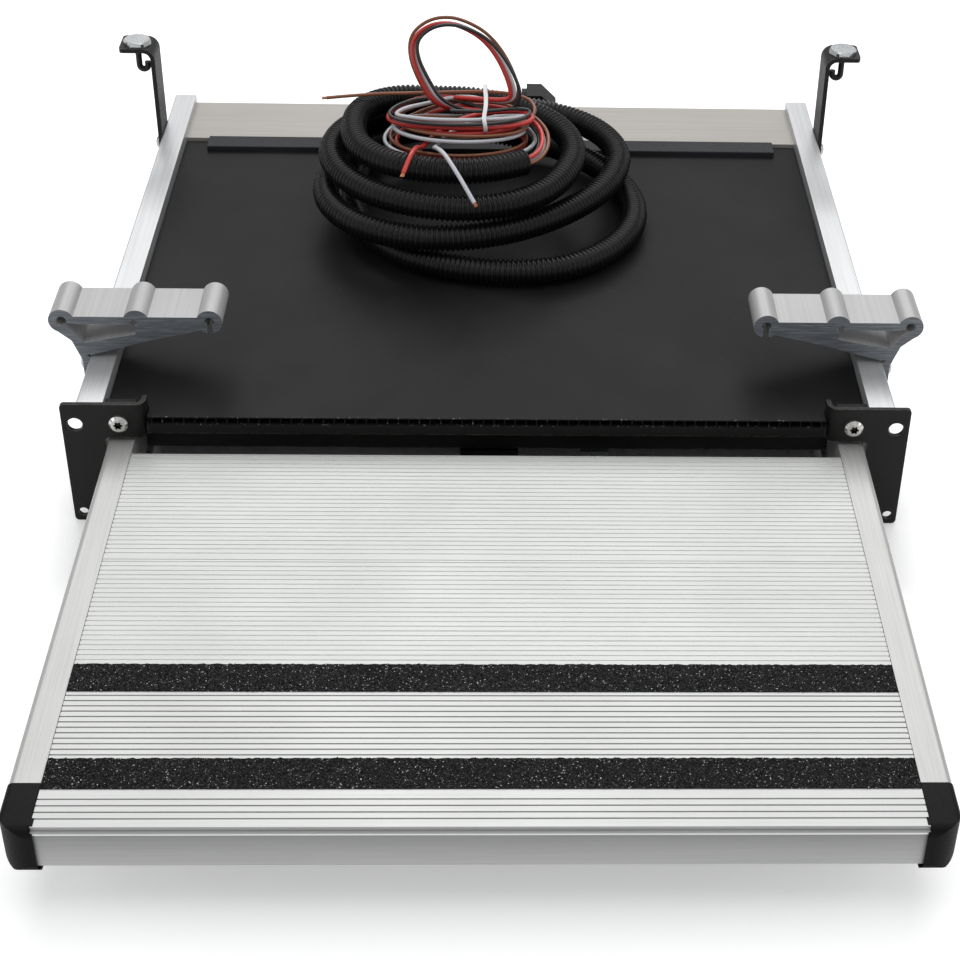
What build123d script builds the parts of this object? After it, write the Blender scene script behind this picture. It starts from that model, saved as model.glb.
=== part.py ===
from build123d import *
import math
import os

os.makedirs("parts", exist_ok=True)

# Pull out step for a caravan or camper, tread drawn fully out. Sizes are in millimetres.
# X runs across the step, Y to the rear, under the vehicle, and Z up.
# The origin lies midway between the two upper fixing holes, on the fascia's front face.

# Tread
TREAD_WIDTH = 400.0
PLANK_DEPTH = 95.7
PLANK_HEIGHT = 20.0
PLANK_SEAM = 0.4
PLANK_SETBACK = 12.4
PLANK_SKIN = 2.8
PLANK_WALL = 1.8
PLANK_END_GAP = 0.3
TONGUE = 2.0
TONGUE_FIT = 0.2
PORT_SPREAD = 58.0
PORT_RADIUS = 3.4
RIB_PITCH = 3.7
GROOVE_WIDTH = 0.9
GROOVE_DEPTH = 0.9
NOSE_HEIGHT = 24.0
NOSE_RIB_PITCH = 4.05
NOSE_RIB_COUNT = 4
NOSE_LEDGE_DROP = 2.3
NOSE_LEDGE = 2.1
NOSE_FACE_STEP = 1.0
NOSE_LIP_HEIGHT = 0.9
GRIP_WIDTH = 20.0
GRIP_THICK = 0.8
GRIP_SETBACK = 23.5
GRIP_PITCH = 65.7
TREAD_RAIL_WIDTH = 15.0
TREAD_RAIL_HEIGHT = 26.0
TREAD_RAIL_WALL = 2.2
TREAD_RAIL_ROUND = 3.0
TREAD_OVERLAP = 110.0
STROKE = 270.0
GUIDE_GROOVE_HEIGHT = 8.0
GUIDE_GROOVE_DEPTH = 5.0

# End caps
CAP_LENGTH = 30.5
CAP_FRONT_PROUD = 1.1
CAP_PROUD = 0.3
CAP_DROP = 2.5
CAP_LIP = 2.6
CAP_CORNER = 14.0
CAP_WRAP = 1.4
CAP_WRAP_DEPTH = 8.5
CAP_EDGE = 5.0
CAP_PLUG = 15.0
CAP_PLUG_FIT = 0.15

# Housing rails
RAIL_LENGTH = 407.5
WEB_THICK = 3.0
RAIL_WALL = 3.0
LIP_WIDTH = 15.0
RECESS_WALL = 2.5
LEDGE_REACH = 15.5
FOOT_WIDTH = 25.5
RIB_THICK = 2.5
RIB_REACH = 10.0
GUIDE_SPACE = 12.5
GUIDE_MARGIN = 3.0
SLIDE_GAP = 0.3
RAIL_PORT_RADIUS = 4.2
RAIL_PORT_BORE = 2.3
RAIL_CUTBACK = 8.0

# Fascia ears
FASCIA_HEIGHT = 80.0
FASCIA_THICK = 2.5
EAR_OVERHANG = 9.0
EAR_CLEARANCE = 2.0
EAR_CORNER = 2.5
ARM_HEIGHT = 22.0
ARM_REACH = 25.0
ARM_FILLET = 4.0
FOLD_RADIUS = 6.0
FOLD_LENGTH = 10.2
EAR_FLANGE_DEPTH = 24.0
EAR_FLANGE_TOP = -14.0
EAR_FLANGE_HEIGHT = 43.0
FIX_HOLE_DIAMETER = 8.7
FIX_HOLE_EDGE = 7.5
FIX_HOLE_DROP = 13.5
FIX_HOLE_RELIEF = 14.0
LOW_HOLE_DIAMETER = 5.5
LOW_HOLE_EDGE = 5.5
LOW_HOLE_RISE = 6.0
FIX_RELIEF_DEPTH = 15.0

# Cover and cross members
PANEL_RECESS = 8.0
PANEL_THICK = 5.0
PANEL_SKIN = 0.7
PANEL_CELL = 6.0
PANEL_WEB = 0.6
PANEL_FIT = 0.5
PANEL_REAR = 350.0
TREAD_CLEARANCE = 11.5
FRONT_BAR_DEPTH = 20.0
FRONT_BAR_HEIGHT = 6.5
FRONT_BAR_WALL = 2.5
FRONT_BAR_SETBACK = 1.0
REAR_PROFILE_HEIGHT = 7.2
REAR_PROFILE_GAP = 1.5
REAR_PROFILE_WALL = 2.0
STRIP_HALF_LENGTH = 199.0
STRIP_DEPTH = 16.0
STRIP_HEIGHT = 3.6
STRIP_WALL = 1.2
BRACE_THICK = 3.0
FRONT_BRACE_DEPTH = 26.0
REAR_BRACE_START = 332.0
REAR_BRACE_DEPTH = 70.0

# Rear hangers
HANGER_CENTRE = 355.0
HANGER_WIDTH = 24.0
HANGER_THICK = 3.0
HANGER_TOP = 77.0
HANGER_REACH = 24.0
HANGER_BEND = 8.0
HANGER_DROP = 48.0
HOOK_OFFSET = 12.5
HOOK_SETBACK = 2.0
HOOK_ROD = 4.2
HOOK_HOLE = 5.4
HOOK_SHANK = 12.5
HOOK_CURL = 2.9
HOOK_TIP = 2.5
NUT_FLATS = 17.0
NUT_HEIGHT = 3.4
NUT_CROWN = 1.2

# Front clamp brackets
BRACKET_START = 50.0
BRACKET_DEPTH = 33.0
BRACKET_TOP = 40.4
BRACKET_PLATE = 5.0
BOSS_RADIUS = 7.4
BOSS_BORE = 2.9
BOSS_DROP = 3.0
BOSS_INNER = 160.2
BOSS_MIDDLE = 201.8
BOSS_OUTER = 244.2
BRACKET_LEG = 4.5
BRACKET_LEG_DROP = 36.0

# Drive
SCREW_AXIS_Z = -49.0
SCREW_RADIUS = 5.0
JOURNAL_RADIUS = 4.0
RUNNING_FIT = 0.06
BEARING_DEPTH = 13.0
BEARING_WIDTH = 34.0
BEARING_START = 9.0
NUT_BLOCK_DEPTH = 26.0
NUT_BLOCK_WIDTH = 34.0
NUT_BLOCK_START = 30.0
CROSSBAR_DEPTH = 20.0
CROSSBAR_HEIGHT = 22.0
CROSSBAR_WALL = 2.0
TIE_DEPTH = 15.0
TIE_THICK = 4.0
TIE_INSET = 4.0
TIE_DROP = 5.0
GEARBOX_START = 336.0
GEARBOX_DEPTH = 24.0
GEARBOX_WIDTH = 46.0
GEARBOX_HEIGHT = 27.0
MOTOR_RADIUS = 15.0
MOTOR_LENGTH = 36.0
STRAP_WIDTH = 12.0
STRAP_THICK = 2.0
SOCKET_DEPTH = 12.0
GLIDE_LENGTH = 60.0
REAR_GLIDE_LENGTH = 40.0
GLIDE_START = 6.0
SWITCH_X = 62.0
SWITCH_SIZE = (20.0, 10.0, 12.0)
SWITCH_RISE = 6.0
SWITCH_BUTTON = 3.0
SWITCH_GAP = 0.6
TRIP_THICK = 2.0

# Fasteners
TORX_HEAD = 10.7
TORX_HEIGHT = 3.2
TORX_SHANK = 4.8
TORX_LENGTH = 10.0
TORX_SETBACK = 9.6
TORX_Z = 1.4
SCREW_HEAD = 9.0
SCREW_HEAD_HEIGHT = 2.6
SCREW_SHANK = 5.0
SCREW_REACH = 6.0
SCREW_FIT = 0.1
FASTENER_SIDES = 12
PLANK_SCREW = 3.6
PLANK_SCREW_HEAD = 7.0
PLANK_SCREW_SINK = 1.8
PLANK_SCREW_LENGTH = 22.0

# Conduit and wires
CONDUIT = 17.0
WIRE_BUNDLE = 8.0
WIRE = 2.8
COIL_SIDES = 36
TUBE_SIDES = 12
GLAND_X = 35.0
GLAND_Y = 383.0
GLAND_RADIUS = 12.0
GLAND_RISE = 14.8
GLAND_REACH = 14.0

# Places that follow from the sizes above
tread_in = TREAD_WIDTH / 2
tread_out = tread_in + TREAD_RAIL_WIDTH
web_in = tread_out + GUIDE_SPACE
web_out = web_in + WEB_THICK
ear_out = web_out + EAR_OVERHANG
ear_in = tread_out + EAR_CLEARANCE
arm_inner = ear_in - ARM_REACH
torx_x = ear_in - TORX_SETBACK
fix_hole_x = ear_out - FIX_HOLE_EDGE
low_hole_x = ear_out - LOW_HOLE_EDGE
lip_in = web_out - LIP_WIDTH
ledge_in = lip_in - LEDGE_REACH
rail_top = FIX_HOLE_DROP
rail_bottom = rail_top - FASCIA_HEIGHT
panel_top = rail_top - PANEL_RECESS
panel_bottom = panel_top - PANEL_THICK
ledge_bottom = panel_bottom - RAIL_WALL
tread_top = panel_bottom - TREAD_CLEARANCE
tread_bottom = tread_top - TREAD_RAIL_HEIGHT
tread_middle = (tread_top + tread_bottom) / 2
channel_top = tread_top + GUIDE_MARGIN
channel_bottom = tread_bottom - GUIDE_MARGIN
floor_top = rail_bottom + RAIL_WALL
brace_top = floor_top + BRACE_THICK
rail_start = FASCIA_THICK
rail_end = rail_start + RAIL_LENGTH
block_end = rail_start + RAIL_CUTBACK
arm_bottom = rail_top - ARM_HEIGHT
plank_rear = -PLANK_SETBACK
nose_front = plank_rear - 3 * PLANK_DEPTH - 2 * PLANK_SEAM
ledge_front = nose_front - NOSE_LEDGE
cap_front = ledge_front - CAP_FRONT_PROUD
cap_rear = cap_front + CAP_LENGTH
profile_start = PANEL_REAR + REAR_PROFILE_GAP
profile_top = panel_bottom + REAR_PROFILE_HEIGHT
screw_line_high = (panel_bottom + rail_top - RAIL_WALL) / 2
screw_line_low = (floor_top + channel_bottom - RIB_THICK) / 2
box_depth = lip_in + RECESS_WALL
front_switch_y = rail_start + FRONT_BRACE_DEPTH - BRACE_THICK
rear_switch_y = REAR_BRACE_START + BRACE_THICK


# Helpers

def block(x0, x1, y0, y1, z0, z1):
    """A box between two opposite corners."""
    size = Box(x1 - x0, y1 - y0, z1 - z0)
    return Pos((x0 + x1) / 2, (y0 + y1) / 2, (z0 + z1) / 2) * size


def rect(a0, a1, b0, b1):
    """A flat rectangle between two opposite corners."""
    return Pos((a0 + a1) / 2, (b0 + b1) / 2) * Rectangle(a1 - a0, b1 - b0)


def disc(a, b, radius):
    """A flat circle about a point."""
    return Pos(a, b) * Circle(radius)


def shape(points):
    """A flat outline through a few corner points."""
    return make_face(Polyline(*points, close=True))


def pin(a, b, radius):
    """A many-sided outline just inside a circle, for a small fastener."""
    return Pos(a, b) * RegularPolygon(radius, FASTENER_SIDES)


def drilling(a, b, radius):
    """A many-sided outline just round a circle, for a fastener's hole."""
    return Pos(a, b) * RegularPolygon(radius, FASTENER_SIDES, major_radius=False)


def along_x(profile, x0, x1):
    """A profile drawn in Y and Z, drawn out from x0 to x1."""
    plane = Plane(origin=(x0, 0, 0), x_dir=(0, 1, 0), z_dir=(1, 0, 0))
    return extrude(plane * profile, amount=x1 - x0)


def along_y(profile, y0, y1):
    """A profile drawn in X and Z, drawn out from y0 to y1."""
    plane = Plane(origin=(0, y1, 0), x_dir=(1, 0, 0), z_dir=(0, -1, 0))
    return extrude(plane * profile, amount=y1 - y0)


def along_z(profile, z0, z1):
    """A profile drawn in X and Y, drawn out from z0 to z1."""
    return extrude(Pos(0, 0, z0) * profile, amount=z1 - z0)


def rod_x(x0, x1, y, z, radius):
    return along_x(disc(y, z, radius), x0, x1)


def rod_y(y0, y1, x, z, radius):
    return along_y(disc(x, z, radius), y0, y1)


def rod_z(z0, z1, x, y, radius):
    return along_z(disc(x, y, radius), z0, z1)


def rounded(profile, points, radius):
    """Rounds the corners of a flat profile that lie at the named points."""
    corners = [v for v in profile.vertices() if any(math.dist((v.X, v.Y), p) < 0.01 for p in points)]
    return fillet(corners, radius)


def mirrored(piece):
    """The same piece on the other side of the step."""
    return mirror(piece, about=Plane.YZ)


def save(name, piece):
    export_step(piece, f"parts/{name}.step")


def save_pair(name, piece):
    """Writes a right-hand piece and its left-hand twin."""
    save(f"right_{name}", piece)
    save(f"left_{name}", mirrored(piece))


def both_sides(piece):
    """The same fastener on both sides, as one group of separate solids."""
    return Compound(children=[*piece.solids(), *mirrored(piece).solids()])


# Housing rails

def hanger_screw_places():
    """Y and Z of the screws that hold a rear hanger to its rail."""
    spread = HANGER_WIDTH / 4
    rows = (screw_line_high, screw_line_low)
    return [(HANGER_CENTRE + side * spread, z) for z in rows for side in (-1, 1)]


def bracket_screw_places():
    """Y and Z of the screws that hold a front clamp bracket to its rail."""
    spread = BRACKET_DEPTH / 4
    middle = BRACKET_START + BRACKET_DEPTH / 2
    return [(middle + side * spread, screw_line_high) for side in (-1, 1)]


def flange_screw_places():
    """Y and Z of the screws through an ear's side flange."""
    middle = rail_start + EAR_FLANGE_DEPTH / 2
    return [(middle + side * EAR_FLANGE_DEPTH / 4, screw_line_low) for side in (-1, 1)]


def brace_screw_places():
    """X and Y of the screws that hold the two braces down on the rails' feet."""
    x = (web_out - FOOT_WIDTH + web_in - 2 * RAIL_PORT_RADIUS) / 2
    front = rail_start + FRONT_BRACE_DEPTH / 2
    rear = [REAR_BRACE_START + REAR_BRACE_DEPTH * share for share in (0.2, 0.8)]
    return [(x, y) for y in (front, *rear)]


def rail_profile():
    """The drawn section of the right-hand housing rail, in X and Z."""
    foot_in = web_out - FOOT_WIDTH
    rib_in = web_in - RIB_REACH
    port_x = web_in - RAIL_PORT_RADIUS + 0.6
    port_z = floor_top + RAIL_PORT_RADIUS - 0.6
    section = rect(web_in, web_out, rail_bottom, rail_top)
    section += rect(lip_in, web_out, rail_top - RAIL_WALL, rail_top)
    section += rect(lip_in, box_depth, ledge_bottom, rail_top)
    section += rect(ledge_in, web_out, ledge_bottom, panel_bottom)
    section += rect(rib_in, web_out, channel_top, channel_top + RIB_THICK)
    section += rect(rib_in, web_out, channel_bottom - RIB_THICK, channel_bottom)
    section += rect(foot_in, web_out, rail_bottom, floor_top)
    section += disc(port_x, port_z, RAIL_PORT_RADIUS)
    section -= disc(port_x, port_z, RAIL_PORT_BORE)
    section -= shape([(port_x, port_z), (port_x - 6, port_z + 2.4), (port_x - 2.4, port_z + 6)])
    return rounded(section, [(web_out, rail_top), (web_out, rail_bottom)], 1.0)


def housing_rail():
    """The right-hand rail, cut back for its end block and drilled for what is screwed to it."""
    rail = along_y(rail_profile(), rail_start, rail_end)
    rail -= block(ledge_in - 1, web_in, rail_start, block_end, ledge_bottom - 1, rail_top - RAIL_WALL)
    rail -= rod_y(rail_start, rail_start + FIX_RELIEF_DEPTH, fix_hole_x, 0, FIX_HOLE_RELIEF / 2)
    hole = SCREW_SHANK / 2 + SCREW_FIT
    for y, z in hanger_screw_places() + bracket_screw_places() + flange_screw_places():
        rail -= along_x(drilling(y, z, hole), web_in - 1, web_out + 1)
    for x, y in brace_screw_places():
        rail -= along_z(drilling(x, y, hole), rail_bottom - 1, floor_top + 1)
    return rail


def end_block():
    """The plastic block in the front of a rail, which takes the ear's round-headed screw."""
    lug_top = rail_top - RAIL_WALL
    piece = block(arm_inner + FOLD_RADIUS, web_in, rail_start, block_end, ledge_bottom, lug_top)
    hollow = [box_depth + PANEL_FIT / 2, web_in - PANEL_FIT / 2]
    piece += block(*hollow, block_end, block_end + 20, panel_bottom + 0.2, lug_top - 0.2)
    piece -= rod_y(rail_start, block_end, torx_x, TORX_Z, TORX_SHANK / 2 + SCREW_FIT)
    piece -= rod_y(rail_start, rail_start + FIX_RELIEF_DEPTH, fix_hole_x, 0, FIX_HOLE_RELIEF / 2)
    return piece


# Fascia ears

def ear_plate():
    """The black steel ear: a plate with an arm over the tread rail, a folded end and a side flange."""
    outline = shape([
        (ear_in, rail_bottom), (ear_out, rail_bottom), (ear_out, rail_top),
        (arm_inner + FOLD_RADIUS, rail_top), (arm_inner + FOLD_RADIUS, arm_bottom), (ear_in, arm_bottom),
    ])
    corners = [(ear_out, rail_top), (ear_out, rail_bottom), (ear_in, rail_bottom)]
    outline = rounded(outline, corners, EAR_CORNER)
    outline = rounded(outline, [(ear_in, arm_bottom)], ARM_FILLET)
    plate = along_y(outline, 0, FASCIA_THICK)
    bend_x = arm_inner + FOLD_RADIUS
    bend = disc(bend_x, FOLD_RADIUS, FOLD_RADIUS) - disc(bend_x, FOLD_RADIUS, FOLD_RADIUS - FASCIA_THICK)
    bend = bend & rect(arm_inner, bend_x, 0, FOLD_RADIUS)
    bend += rect(arm_inner, arm_inner + FASCIA_THICK, FOLD_RADIUS, FOLD_LENGTH)
    plate += along_z(bend, arm_bottom, rail_top)
    flange_end = rail_start + EAR_FLANGE_DEPTH
    flange_low = EAR_FLANGE_TOP - EAR_FLANGE_HEIGHT
    plate += block(web_out, web_out + FASCIA_THICK, 0, flange_end, flange_low, EAR_FLANGE_TOP)
    plate -= rod_y(-1, FASCIA_THICK + 1, fix_hole_x, 0, FIX_HOLE_DIAMETER / 2)
    low_z = rail_bottom + LOW_HOLE_RISE
    plate -= rod_y(-1, FASCIA_THICK + 1, low_hole_x, low_z, LOW_HOLE_DIAMETER / 2)
    plate -= rod_y(-1, FASCIA_THICK + 1, torx_x, TORX_Z, TORX_SHANK / 2 + SCREW_FIT)
    for y, z in flange_screw_places():
        plate -= along_x(drilling(y, z, SCREW_SHANK / 2 + SCREW_FIT), web_out - 1, web_out + FASCIA_THICK + 1)
    return plate


def ear_screw():
    """A pan-headed screw with a six-lobed recess, through an ear into its end block."""
    radius = TORX_HEAD / 2
    dome = Cylinder(radius, TORX_HEIGHT)
    dome = chamfer(dome.edges().sort_by(Axis.Z)[-1], TORX_HEIGHT * 0.4)
    recess = Circle(1.9)
    for turn in range(6):
        recess += Rot(0, 0, 60 * turn) * Pos(1.9, 0) * Circle(0.7)
    dome -= Pos(0, 0, TORX_HEIGHT / 2 - 1.8) * extrude(recess, amount=2.5)
    head = Pos(torx_x, -TORX_HEIGHT / 2, TORX_Z) * Rot(90, 0, 0) * dome
    return head + rod_y(0, TORX_LENGTH, torx_x, TORX_Z, TORX_SHANK / 2)


# Cover and cross members

def cover_panel():
    """The hollow-core cover sheet, with its cells running front to rear and its front corners notched."""
    half = lip_in - PANEL_FIT
    tongue = arm_inner - PANEL_FIT
    sheet = block(-half, half, block_end + PANEL_FIT, PANEL_REAR, panel_bottom, panel_top)
    sheet += block(-tongue, tongue, 0, block_end + PANEL_FIT, panel_bottom, panel_top)
    count = int((2 * half - PANEL_WEB) / PANEL_CELL)
    first = -PANEL_CELL * (count - 1) / 2
    cells = Sketch() + [
        rect(x - (PANEL_CELL - PANEL_WEB) / 2, x + (PANEL_CELL - PANEL_WEB) / 2,
             panel_bottom + PANEL_SKIN, panel_top - PANEL_SKIN)
        for x in (first + PANEL_CELL * n for n in range(count))
    ]
    return sheet - along_y(cells, -1, PANEL_REAR + 1)


def front_bar():
    """The folded channel that ties the two ears together and carries the cover's front edge."""
    y0 = FRONT_BAR_SETBACK
    y1 = y0 + FRONT_BAR_DEPTH
    low = panel_bottom - FRONT_BAR_HEIGHT
    section = rect(y0, y1, low, panel_bottom)
    section -= rect(y0 + FRONT_BAR_WALL, y1 - FRONT_BAR_WALL, low, panel_bottom - FRONT_BAR_WALL)
    section = rounded(section, [(y0, panel_bottom), (y1, panel_bottom)], 1.2)
    return along_x(section, -arm_inner, arm_inner)


def rear_profile():
    """The flat hollow profile that closes the housing behind the cover."""
    wall = REAR_PROFILE_WALL
    section = rect(profile_start, rail_end, panel_bottom, profile_top)
    cells = 3
    width = (rail_end - profile_start - wall * (cells + 1)) / cells
    for n in range(cells):
        y = profile_start + wall + n * (width + wall)
        section -= rect(y, y + width, panel_bottom + wall, profile_top - wall)
    profile = along_x(section, -lip_in, lip_in)
    hole = GLAND_RADIUS * 0.6 + SCREW_FIT
    return profile - rod_z(panel_bottom - 1, profile_top + 1, GLAND_X, GLAND_Y, hole)


def cover_strip():
    """The black strip that holds down the cover's rear edge."""
    y1 = profile_start
    y0 = y1 - STRIP_DEPTH
    top = panel_top + STRIP_HEIGHT
    section = rect(y0, y1, panel_top, top)
    section -= rect(y0 + STRIP_WALL, y1 - STRIP_WALL, panel_top, top - STRIP_WALL)
    section = rounded(section, [(y0, top)], 0.8)
    return along_x(section, -STRIP_HALF_LENGTH, STRIP_HALF_LENGTH)


def brace(y0, depth):
    """A flat steel brace between the rails' feet, with turned-up edges."""
    half = web_in - 2 * RAIL_PORT_RADIUS
    section = rect(y0, y0 + depth, floor_top, brace_top)
    section += rect(y0, y0 + BRACE_THICK, floor_top, brace_top + BRACE_THICK)
    section += rect(y0 + depth - BRACE_THICK, y0 + depth, floor_top, brace_top + BRACE_THICK)
    piece = along_x(section, -half, half)
    for x, y in brace_screw_places():
        for side in (-1, 1):
            piece -= along_z(drilling(side * x, y, SCREW_SHANK / 2 + SCREW_FIT), rail_bottom, brace_top + 10)
    return piece


# Rear hangers

def rear_hanger():
    """A black steel angle on the rail's outer face, with a flange that turns outwards at the top."""
    outer = web_out + HANGER_REACH
    low = HANGER_TOP - HANGER_THICK
    inside = HANGER_BEND - HANGER_THICK
    section = rect(web_out, web_out + HANGER_THICK, screw_line_low - 8, HANGER_TOP - HANGER_BEND)
    corner = disc(web_out + HANGER_BEND, HANGER_TOP - HANGER_BEND, HANGER_BEND)
    corner -= disc(web_out + HANGER_BEND, HANGER_TOP - HANGER_BEND, inside)
    section += corner & rect(web_out, web_out + HANGER_BEND, HANGER_TOP - HANGER_BEND, HANGER_TOP)
    section += rect(web_out + HANGER_BEND, outer, low, HANGER_TOP)
    y0 = HANGER_CENTRE - HANGER_WIDTH / 2
    piece = along_y(section, y0, y0 + HANGER_WIDTH)
    tip = piece.edges().filter_by(Axis.Z).group_by(Axis.X)[-1]
    piece = fillet(tip, 3.0)
    hook_x = web_out + HOOK_OFFSET
    piece -= rod_z(low - 1, HANGER_TOP + 1, hook_x, HANGER_CENTRE - HOOK_SETBACK, HOOK_HOLE / 2)
    for y, z in hanger_screw_places():
        piece -= along_x(drilling(y, z, SCREW_SHANK / 2 + SCREW_FIT), web_out - 1, web_out + HANGER_THICK + 1)
    return piece


def hook_bolt():
    """A bent rod hanging from the hanger's flange, curled inwards at its end."""
    x = web_out + HOOK_OFFSET
    y = HANGER_CENTRE - HOOK_SETBACK
    low = HANGER_TOP - HANGER_THICK - HOOK_SHANK
    top = HANGER_TOP + NUT_HEIGHT - NUT_CROWN - SCREW_FIT
    line = Line((x, y, top), (x, y, low))
    line += ThreePointArc((x, y, low), (x - HOOK_CURL, y, low - HOOK_CURL), (x - 2 * HOOK_CURL, y, low))
    line += Line((x - 2 * HOOK_CURL, y, low), (x - 2 * HOOK_CURL, y, low + HOOK_TIP))
    start = Plane(origin=(x, y, top), z_dir=(0, 0, -1))
    return sweep(start * pin(0, 0, HOOK_ROD / 2), path=Wire(line.edges()))


def hook_nut():
    """The closed hexagon nut on top of the flange."""
    x = web_out + HOOK_OFFSET
    y = HANGER_CENTRE - HOOK_SETBACK
    body = extrude(RegularPolygon(NUT_FLATS / 2, 6, major_radius=False), amount=NUT_HEIGHT)
    crown = Pos(0, 0, NUT_HEIGHT / 2) * Cylinder(NUT_FLATS / 2 * 1.09, NUT_HEIGHT)
    crown = chamfer(crown.edges().group_by(Axis.Z)[-1], 0.8)
    nut = (body & crown) - along_z(drilling(0, 0, HOOK_ROD / 2 + SCREW_FIT), -1, NUT_HEIGHT - NUT_CROWN)
    return Pos(x, y, HANGER_TOP) * nut


# Front clamp brackets

def clamp_bracket():
    """A drawn bracket over the rail: a top plate with three screw bosses, a hollow arm and a leg."""
    top = BRACKET_TOP
    plate_low = top - BRACKET_PLATE
    boss_z = top - BOSS_DROP
    foot_z = rail_top + 1.0
    outline = shape([
        (BOSS_INNER, top), (BOSS_OUTER, top), (BOSS_OUTER + 5.0, boss_z - 5.0),
        (web_out + BRACKET_LEG + 4.8, boss_z - 13.0), (web_out + BRACKET_LEG, foot_z - 3.0),
        (web_out + BRACKET_LEG, foot_z - BRACKET_LEG_DROP), (web_out, foot_z - BRACKET_LEG_DROP),
        (web_out, foot_z), (BOSS_MIDDLE + 11.0, foot_z + 5.2), (BOSS_MIDDLE - 7.0, foot_z + 10.4),
        (BOSS_INNER + 5.0, boss_z - 5.4),
    ])
    for x in (BOSS_INNER, BOSS_MIDDLE, BOSS_OUTER):
        outline += disc(x, boss_z, BOSS_RADIUS)
    window = shape([
        (BOSS_OUTER - 1.2, boss_z - 1.0), (BOSS_OUTER - 7.5, plate_low), (BOSS_MIDDLE + 1.0, plate_low),
        (BOSS_MIDDLE + 0.8, foot_z + 14.6), (web_out + 3.7, foot_z + 8.2),
    ])
    outline -= window
    outline -= disc(BOSS_OUTER, boss_z, BOSS_BORE)
    outline -= disc(BOSS_MIDDLE + 1.4, boss_z - 0.8, BOSS_BORE * 0.7)
    outline -= disc(BOSS_INNER, boss_z, BOSS_BORE)
    outline -= rect(BOSS_INNER - 1.7, BOSS_INNER + 1.7, boss_z - 12, boss_z)
    outline -= disc(web_out + 0.6, foot_z - 0.2, 1.2)
    bracket = along_y(outline, BRACKET_START, BRACKET_START + BRACKET_DEPTH)
    for y, z in bracket_screw_places():
        bracket -= along_x(drilling(y, z, SCREW_SHANK / 2 + SCREW_FIT), web_out - 1, web_out + BRACKET_LEG + 1)
    return bracket


# Screws

def side_screw(x, y, z):
    """A round-headed screw driven inwards along X, with its head seated at x."""
    head = along_x(pin(y, z, SCREW_HEAD / 2), x, x + SCREW_HEAD_HEIGHT)
    head = chamfer(head.edges().group_by(Axis.X)[-1], 1.0)
    return head + along_x(pin(y, z, SCREW_SHANK / 2), web_in - SCREW_REACH, x)


def brace_screw(x, y):
    """A screw that holds a brace down on a rail's foot, with its head on the brace."""
    head = along_z(pin(x, y, SCREW_HEAD / 2), brace_top, brace_top + SCREW_HEAD_HEIGHT)
    return head + along_z(pin(x, y, SCREW_SHANK / 2), rail_bottom + 0.5, brace_top)


def screw_group(makers):
    """Several screws on both sides, as one group of separate solids."""
    right = [s for piece in makers for s in piece.solids()]
    left = [s for piece in makers for s in mirrored(piece).solids()]
    return Compound(children=right + left)


# Drive

def bearing_block():
    """The block on the front brace that carries the front end of the lead screw."""
    half = BEARING_WIDTH / 2
    top = SCREW_AXIS_Z + JOURNAL_RADIUS + 5
    y1 = BEARING_START + BEARING_DEPTH
    section = rect(-half, half, brace_top, brace_top + 5) + rect(-11, 11, brace_top, SCREW_AXIS_Z)
    section += disc(0, SCREW_AXIS_Z, top - SCREW_AXIS_Z)
    piece = along_y(section & rect(-half, half, brace_top, top), BEARING_START, y1)
    piece -= rod_y(BEARING_START, y1, 0, SCREW_AXIS_Z, JOURNAL_RADIUS + RUNNING_FIT)
    return piece


def lead_screw():
    """The lead screw, plain, with a journal at each end."""
    start = BEARING_START
    thread_start = BEARING_START + BEARING_DEPTH + 1
    thread_end = GEARBOX_START - 1
    screw = rod_y(thread_start, thread_end, 0, SCREW_AXIS_Z, SCREW_RADIUS)
    screw = chamfer(screw.edges().filter_by(GeomType.CIRCLE), 0.6)
    screw += rod_y(start, thread_start, 0, SCREW_AXIS_Z, JOURNAL_RADIUS)
    return screw + rod_y(thread_end, GEARBOX_START + SOCKET_DEPTH - 0.5, 0, SCREW_AXIS_Z, JOURNAL_RADIUS)


def crossbar():
    """The hollow bar between the tread's side rails that carries the drive nut."""
    y0 = NUT_BLOCK_START + (NUT_BLOCK_DEPTH - CROSSBAR_DEPTH) / 2
    high = tread_bottom + CROSSBAR_HEIGHT
    section = rect(y0, y0 + CROSSBAR_DEPTH, tread_bottom, high)
    wall = CROSSBAR_WALL
    section -= rect(y0 + wall, y0 + CROSSBAR_DEPTH - wall, tread_bottom + wall, high - wall)
    return along_x(section, -tread_in, tread_in)


def drive_nut():
    """The nut block under the crossbar, bored for the lead screw."""
    half = NUT_BLOCK_WIDTH / 2
    low = SCREW_AXIS_Z - SCREW_RADIUS - 4
    section = rect(-half, half, tread_bottom - 5, tread_bottom) + rect(-12, 12, low, tread_bottom)
    section = rounded(section, [(-12, low), (12, low)], 3.0)
    y1 = NUT_BLOCK_START + NUT_BLOCK_DEPTH
    piece = along_y(section, NUT_BLOCK_START, y1)
    return piece - rod_y(NUT_BLOCK_START, y1, 0, SCREW_AXIS_Z, SCREW_RADIUS + RUNNING_FIT)


def rear_tie():
    """The flat bar that ties the rear ends of the tread's side rails."""
    y1 = TREAD_OVERLAP - TIE_INSET
    high = tread_top - TIE_DROP
    return block(-tread_in, tread_in, y1 - TIE_DEPTH, y1, high - TIE_THICK, high)


def switch_trip():
    """The finger under the crossbar that trips the switches at both ends of the travel."""
    y0 = front_switch_y + SWITCH_BUTTON + SWITCH_GAP
    y1 = rear_switch_y - SWITCH_BUTTON - SWITCH_GAP - STROKE
    section = rect(SWITCH_X - 8, SWITCH_X + 8, tread_bottom - TRIP_THICK, tread_bottom)
    section += rect(SWITCH_X - 1, SWITCH_X + 1, brace_top + SWITCH_RISE + 2, tread_bottom)
    return along_y(section, y0, y1)


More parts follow.
